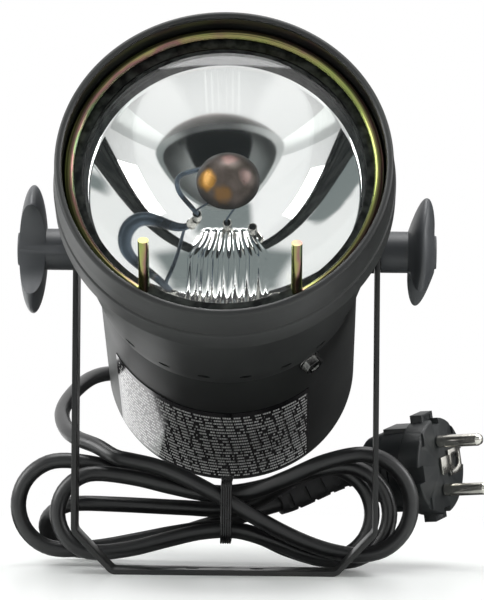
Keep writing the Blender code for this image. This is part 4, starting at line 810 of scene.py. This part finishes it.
ball = (CAP ** 2 + CAP_DEPTH ** 2) / (2 * CAP_DEPTH)
ball_station = CAP_STATION + CAP_DEPTH - ball
cap_turns = [asin(CAP / ball) * i / CAP_STEPS for i in range(CAP_STEPS + 1)]
cap_outline = [(ball_station + ball * cos(turn), ball * sin(turn)) for turn in cap_turns]
cap_outline += [(ball_station + (ball - CAP_WALL) * cos(turn), (ball - CAP_WALL) * sin(turn))
                for turn in cap_turns[::-1]]
bronze = finish("bronze_heat_tint_and_glints", (0.060, 0.040, 0.026), (0.135, 0.098, 0.082), 0.34, metallic=0.25, patch=190,
                grain=900, uneven=0.10)
tree = bronze.node_tree
cap_tint_and_glint_colour = tree.nodes["Color Ramp"].outputs["Color"]
cap_where = tree.nodes["Texture Coordinate"].outputs["Object"]
ragged = product(tree, tree.nodes["Noise Texture"].outputs["Fac"], CAP_PATCH_RAGGED)
# Each patch is laid on the bronze as part heat tint and part painted highlight and reflection.
for (x, up), near, far, colour in CAP_TINTS_AND_GLINTS:
    depth = ball_station + sqrt(ball ** 2 - x ** 2 - up ** 2)
    reach = distance(tree, cap_where, HEAD @ axial(depth, x + CAP_SIDE, up + CAP_RAISE))
    fade_out = spread(tree, calc(tree, "ADD", reach, ragged), near * MM + CAP_PATCH_RAGGED / 2,
                      far * MM + CAP_PATCH_RAGGED / 2, 1.0, 0.0)
    cap_tint_and_glint_colour = add_node(tree, "ShaderNodeMix", {"Factor": fade_out, "A": cap_tint_and_glint_colour, "B": (*colour, 1)}, "Result",
                       data_type="RGBA")
# The cap's colour darkens towards its rim: painted shade.
cap_reach = distance(tree, cap_where, HEAD @ axial(CAP_STATION + CAP_DEPTH, CAP_SIDE, CAP_RAISE))
cap_rim_painted_shade = spread(tree, cap_reach, 0.0100, 0.0130, 1.0, 0.25, "LINEAR")
cap_colour = add_node(tree, "ShaderNodeVectorMath", {0: cap_tint_and_glint_colour, "Scale": cap_rim_painted_shade}, operation="SCALE")
tree.links.new(cap_colour, tree.nodes["Principled BSDF"].inputs["Base Color"])
cap_shape = turned(cap_outline, 96)
# Inside, the cap is bright metal except for a near-black middle, which is painted shade.
for face in cap_shape.faces:
    middle = face.calc_center_median()
    if hypot(off_axis(middle), -middle.y / MM - ball_station) < ball - 0.3:
        shaded_middle = hypot(middle.x / CAP_SHADED_MIDDLE[0], middle.z / CAP_SHADED_MIDDLE[1]) < MM
        face.material_index = 1 if shaded_middle else 2
cap_mesh = settle("glare_cap", cap_shape, HEAD @ Matrix.Translation(axial(0, CAP_SIDE, CAP_RAISE)))
add_piece(cap_mesh, bronze, "head", "bronze", "filament_cap")
cap_mesh.materials.append(finish("inside_painted_shade", (0.005, 0.006, 0.008), (0.009, 0.010, 0.013), 0.8, patch=150,
                                 specular=0.1))
cap_mesh.materials.append(finish("bright_inside", (0.93, 0.94, 0.935), (0.96, 0.965, 0.96), 0.30, metallic=1.0,
                                 patch=150))


def add_head_wire(name, node, stops, spacing, radius, resolution):
    """Adds a bent wire of the lamp from (station, x, up) stops in the head's frame."""
    stops = [HEAD @ axial(*stop) / MM for stop in stops]
    wire = swept(name, smooth_route(stops, spacing), radius, resolution)
    add_piece(wire, strap_metal, "head", "nickel", node)


def dress(material, *names):
    """Gives CAD nodes their finish."""
    for name in names:
        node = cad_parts[name]
        if not node.material_slots:
            node.data.materials.append(material)
        for slot in node.material_slots:
            slot.material = material


strap_metal = finish("strap_metal", (0.035, 0.042, 0.055), (0.13, 0.17, 0.22), 0.30, metallic=0.9, patch=180)
x, up = FERRULES[0]
end_x = CAP_SIDE + (CAP - 1.2) * cos(STRAP_ANGLE)
end_up = CAP_RAISE + (CAP - 1.2) * sin(STRAP_ANGLE)
strap_stops = ((ferrule_tops[0] + 0.3, x, up), (ferrule_tops[0] + 3, x - 1.5, up + 0.6), (40, x - 6.5, up + 4.5),
               (48, x - 6, up + 6.5), (CAP_STATION - 2.0, end_x - 1.2, end_up + 0.3),
               (CAP_STATION - 1.5, end_x, end_up))
add_head_wire("cap_strap_shown", "cap_strap", strap_stops, 0.8, STRAP, 4)
dress(finish("tungsten_coil", (0.30, 0.30, 0.32), (0.45, 0.45, 0.47), 0.35, metallic=1.0, patch=600), "filament")
for i, side in ((0, -1), (1, 1)):
    x, up = FERRULES[i]
    foot = ferrule_tops[i]
    coil_x = side * (FILAMENT_HALF + 0.9)
    lead_stops = ((foot - 2.2, x, up), (foot + 0.3, x, up), (foot + 3, x, up), (FILAMENT_STATION - 4, coil_x, 0),
                  (FILAMENT_STATION + 1, coil_x, 0))
    add_head_wire(f"filament_lead_{i + 1}", f"filament_post_{i + 1}", lead_stops, 0.9, LEAD_WIRE, 3)


# The retaining ring is a sprung wire, yellow zinc-plated, that snaps into the bore in front of the lens. Its
# two ends are bent forwards and cut square, as grips for two fingers.
WIRE = 3.9
RING = BORE - 0.3 - WIRE / 2
RING_STATION = 64.3 + 0.3 + WIRE / 2
RING_FROM = radians(31.2)
RING_TO = tau - radians(32.4)
RING_STEPS = 176
RING_LEG = ((1.6, 0.6), (2.6, 2.0), (3.0, 4.0), (3.0, 13.0), (3.0, 23.0))
ring_turns = [RING_FROM + (RING_TO - RING_FROM) * i / RING_STEPS for i in range(RING_STEPS + 1)]
ring_points = [Vector((RING * sin(turn), -RING_STATION, -RING * cos(turn))) for turn in ring_turns]
leg_way = Vector((0, -cos(radians(30)), sin(radians(30))))
ring_legs = []
for corner, inward in ((ring_points[0], ring_points[1]), (ring_points[-1], ring_points[-2])):
    run = (corner - inward).normalized()
    ring_legs.append(smooth_route([corner] + [corner + run * on + leg_way * out for on, out in RING_LEG], 0.9)[1:])
ring_line = [HEAD @ (point * MM) / MM for point in ring_legs[0][::-1] + ring_points + ring_legs[1]]
zinc, tree = new_material("yellow_zinc")
zinc_where = add_node(tree, "ShaderNodeTexCoord", outlet="Object")
zinc_x, _, zinc_z = add_node(tree, "ShaderNodeSeparateXYZ", {0: zinc_where}, slice(3))
# The ring's hue follows a noise and the way each face points: the rainbow tint of yellow zinc, with its colours
# laid out by facing and a white end on faces turned to the right, as painted highlights and reflections.
zinc_normal = add_node(tree, "ShaderNodeNewGeometry", outlet="Normal")
zinc_facing = add_node(tree, "ShaderNodeSeparateXYZ", {0: zinc_normal})
zinc_noise = add_node(tree, "ShaderNodeTexNoise", {"Vector": zinc_where, "Scale": 110, "Detail": 3})
zinc_hue = calc(tree, "MULTIPLY_ADD", zinc_noise, 0.55,
                spread(tree, zinc_facing, -1.0, 1.0, -0.05, 0.55, "LINEAR"))
zinc_band = colour_band(tree, zinc_hue, (0.12, (0.42, 0.52, 0.16)), (0.34, (0.62, 0.72, 0.22)),
                        (0.50, (0.70, 0.62, 0.26)), (0.64, (0.62, 0.30, 0.30)), (0.80, (0.30, 0.46, 0.20)),
                        (1.0, (1, 1, 1)))
# The ring is darker on its lower sides, a little above its legs.
zinc_low_sides_darker = product(tree, spread(tree, zinc_z, 0.150, 0.120, curve="LINEAR"),
                    spread(tree, calc(tree, "ABSOLUTE", zinc_x), 0.030, 0.036, curve="LINEAR"), 0.26)
zinc_shade = calc(tree, "SUBTRACT", 0.38, zinc_low_sides_darker)
set_inlets(tree, tree.nodes["Principled BSDF"], {
    "Base Color": add_node(tree, "ShaderNodeVectorMath", {0: zinc_band, "Scale": zinc_shade}, operation="SCALE"),
    "Metallic": 1.0, "Roughness": spread(tree, zinc_noise, 0.0, 1.0, 0.12, 0.28, "LINEAR")})
ring_wire = add_piece(swept("ring_wire", ring_line, WIRE / 2), zinc, "head", "yellow_zinc", "lamp_ring")
ring_wire.visible_transmission = False


# The earth screw is a flanged hexagon screw in dark bright chrome, let into the can just behind the housing.
# Its nut, and all that sits inside the can, are the CAD pieces with their real finishes.
dark_chrome = finish("dark_chrome", (0.06, 0.06, 0.06), (0.22, 0.22, 0.21), 0.16, metallic=1.0, patch=400,
                     grain=900, relief=0.00006, grain_strength=0.5)


def screw_rod(sides, start, end, *radii):
    """A rod or cone of the earth screw, from and to a distance from the can's axis."""
    return rods((earth_out * start * MM, earth_out * end * MM, *radii), sides=sides)


screw_mesh = carve("hex_screw", screw_rod(48, 49.2, 50.0, 4.62), (
    (JOIN, screw_rod(6, 49.6, 53.0, 4.04)), (JOIN, screw_rod(24, 43.2, 49.7, 2.0)),
    (CUT, screw_rod(24, 52.3, 54.0, 2.3, 3.0))), HEAD @ Matrix.Translation(earth_at), 0.25)
add_piece(screw_mesh, dark_chrome, "head", "dark_chrome", "earth_screw")
dress(nickel, "earth_nut", "frame_screw_1", "frame_screw_2", "lamp_terminal_1", "lamp_terminal_2", "pivot_nut_left",
      "pivot_nut_right", "pivot_stud_left", "pivot_stud_right")
dress(finish("laminated_steel", (0.20, 0.20, 0.22), (0.34, 0.33, 0.33), 0.45, metallic=1.0, patch=200),
      "transformer_core", "transformer_frame")
dress(finish("amber_tape", (0.42, 0.20, 0.03), (0.62, 0.34, 0.06), 0.35, patch=120), "transformer_coil")
dress(finish("white_block", (0.70, 0.70, 0.66), (0.84, 0.84, 0.80), 0.5, patch=90), "terminal_block")
dress(finish("white_sleeve", (0.66, 0.66, 0.62), (0.8, 0.8, 0.76), 0.5), "lamp_wire_1", "lamp_wire_2")
dress(finish("earth_sleeve", (0.10, 0.40, 0.04), (0.72, 0.66, 0.05), 0.45, patch=260), "earth_wire")
dress(black_sheath, "mains_tail")


# The rating label is a thin glossy sticker, wrapped round the underside of the can. Its printing stands here
# as plain rows of short pale bars, with no lettering, and its left part catches the light.
LABEL_LOW = 48.97
LABEL_HIGH = 49.22
LABEL_FROM = radians(-60)
LABEL_TO = radians(39)
LABEL_FRONT = -40.0
LABEL_BACK = -105.0
LABEL_STEPS = 64
ROW_PITCH = 2.9
ROW_SHIFT = 0.37
BAR_LENGTH = 0.9
WORD_BARS = 4.3
label_shape = bmesh.new()
label_uv = label_shape.loops.layers.uv.new("print")
label_rows = []
for i in range(LABEL_STEPS + 1):
    angle = LABEL_FROM + (LABEL_TO - LABEL_FROM) * i / LABEL_STEPS
    corners = ((LABEL_FRONT, LABEL_LOW), (LABEL_FRONT, LABEL_HIGH), (LABEL_BACK, LABEL_HIGH),
               (LABEL_BACK, LABEL_LOW))
    label_rows.append([label_shape.verts.new(axial(station, radius * sin(angle), -radius * cos(angle)))
                       for station, radius in corners])
skin(label_shape, label_rows)
for face in label_shape.faces:
    for loop in face.loops:
        at = loop.vert.co
        loop[label_uv].uv = (atan2(at.x, -at.z) * LABEL_HIGH, -at.y / MM)
sticker, ink = new_material("label_print")


def dice(across, down):
    """A steady chance number for each cell of the print."""
    cell = add_node(ink, "ShaderNodeCombineXYZ", {0: across, 1: down})
    return add_node(ink, "ShaderNodeTexWhiteNoise", {"Vector": cell}, "Value", noise_dimensions="2D")


label_map = add_node(ink, "ShaderNodeUVMap", uv_map="print")
label_x, label_y = add_node(ink, "ShaderNodeSeparateXYZ", {0: label_map}, slice(2))
row = calc(ink, "DIVIDE", label_y, ROW_PITCH)
row_number = calc(ink, "FLOOR", row)
row_share = calc(ink, "FRACT", row)
bar = calc(ink, "ADD", calc(ink, "DIVIDE", label_x, BAR_LENGTH), product(ink, row_number, ROW_SHIFT))
word = calc(ink, "DIVIDE", bar, WORD_BARS)
word_gap = product(ink, dice(calc(ink, "FLOOR", word), row_number), 0.32)
printed = product(ink, calc(ink, "GREATER_THAN", row_share, 0.28), calc(ink, "LESS_THAN", row_share, 0.78),
                  calc(ink, "LESS_THAN", calc(ink, "FRACT", bar), 0.80),
                  calc(ink, "GREATER_THAN", dice(calc(ink, "FLOOR", bar), row_number), 0.12),
                  calc(ink, "GREATER_THAN", calc(ink, "FRACT", word), word_gap),
                  calc(ink, "GREATER_THAN", label_x, LABEL_FROM * LABEL_HIGH + 2),
                  calc(ink, "LESS_THAN", label_x, LABEL_TO * LABEL_HIGH - 0.8),
                  calc(ink, "LESS_THAN", label_y, LABEL_FRONT - 4))
print_colour = add_node(ink, "ShaderNodeMix", {"Factor": printed, "A": (0.010, 0.0095, 0.011, 1),
                                               "B": (0.86, 0.85, 0.84, 1)}, "Result", data_type="RGBA")
set_inlets(ink, ink.nodes["Principled BSDF"], {"Base Color": print_colour, "Roughness": 0.13,
                                               "Specular IOR Level": 0.45})
add_piece(settle("label_sticker", label_shape, HEAD), sticker, "head", "label", "rating_label")


# The gland is a black rubber strain relief with a flange, pressed through the middle of the can's back, and a
# plastic nut holds it inside.
GLAND_RIBS = 6
gland_outline = rounded([(-105.8, 0), (-105.8, 5.9), (-111.3, 5.9), (-111.3, 9.0), (-114.3, 9.0), (-114.3, 6.6)],
                        0.7, 4)[:-1]
for i in range(GLAND_RIBS * 4 + 1):
    share_done = i / (GLAND_RIBS * 4)
    dip = 0.5 if i % 4 == 2 else 0.0
    gland_outline.append((-114.4 - 23.4 * share_done, 6.55 - 2.25 * share_done - dip))
gland_outline += [(-GLAND_TIP, 4.1), (-GLAND_TIP, 0)]
gland_mesh = settle("rubber_gland", turned(gland_outline, 48), HEAD)
add_piece(gland_mesh, rubber, "head", "black_rubber", "cord_gland")
dress(plug_black, "gland_nut")


# The two clamp knobs are satin black mouldings with two lobes for finger and thumb, each on a steel stud that
# passes the yoke's arm and a fibre spacer and screws into a nut inside the housing.
KNOB_MIDDLE = 15.3
KNOB_LOBES = (0.0052, 0.024, 0.024, 1)
KNOB_HUB = 7.75
SCOOP = 18.45
SCOOP_OUT = 25.95
KNOB_LEAN_FROM = 7.5
SPACER = 8.0
SPACER_SEAT = 53.26
SPACER_OUT = 54.9
knob_black = finish("knob_black", (0.058, 0.062, 0.067), (0.074, 0.079, 0.085), 0.42, patch=60, grain=1300,
                    relief=0.00004)


def beside(side, distance_out, y=0.0):
    """Point beside the yoke's arm, in metres from the pivot."""
    return Vector((side * (YOKE_OUT + distance_out), y, 0)) * MM


for name, side, turn, lean in (("left", -1, 0.0, 0.0), ("right", 1, 80.0, 0.13)):
    pivot_at = Matrix.Translation(PIVOT * MM)
    grip = bmesh.new()
    bmesh.ops.create_uvsphere(grip, u_segments=72, v_segments=48, radius=1, matrix=Matrix.Translation(
        beside(side, KNOB_MIDDLE)) @ Matrix.Diagonal(KNOB_LOBES))
    hub = rods((beside(side, 0.3), beside(side, KNOB_MIDDLE), KNOB_HUB), sides=64)
    scoops = rods(*[(beside(side, 6.3, y), beside(side, 24.3, y), SCOOP) for y in (-SCOOP_OUT, SCOOP_OUT)],
                  sides=96)
    button = rods((beside(side, KNOB_MIDDLE), beside(side, 21.0), 7.5, 6.1), sides=64)
    stud_bore = rods((beside(side, -6), beside(side, 8.3), STUD_HOLE))
    knob_mesh = carve(f"knob_{name}_grip", grip, ((JOIN, hub), (CUT, scoops), (JOIN, button), (CUT, stud_bore)),
                      pivot_at @ Matrix.Rotation(radians(turn), 4, "X"), 0.7)
    for vert in knob_mesh.vertices:
        above = vert.co.z - PIVOT.z * MM
        vert.co.x += lean * copysign(max(0.0, abs(above) - KNOB_LEAN_FROM * MM), above)
    add_piece(knob_mesh, knob_black, f"{name}_knob", "black_plastic", f"knob_{name}")
    spacer = turned([(-SPACER_SEAT, STUD_HOLE), (-SPACER_SEAT, SPACER), (-SPACER_OUT, SPACER),
                     (-SPACER_OUT, STUD_HOLE)], 64)
    spacer_mesh = settle(f"spacer_{name}", spacer, pivot_at @ Matrix.Rotation(radians(-90 * side), 4, "Z"))
    fibre = finish(f"fibre_{name}", (0.025, 0.024, 0.023), (0.045, 0.043, 0.04), 0.8, patch=400)
    add_piece(spacer_mesh, fibre, "head", "fibre", f"pivot_spacer_{name}")
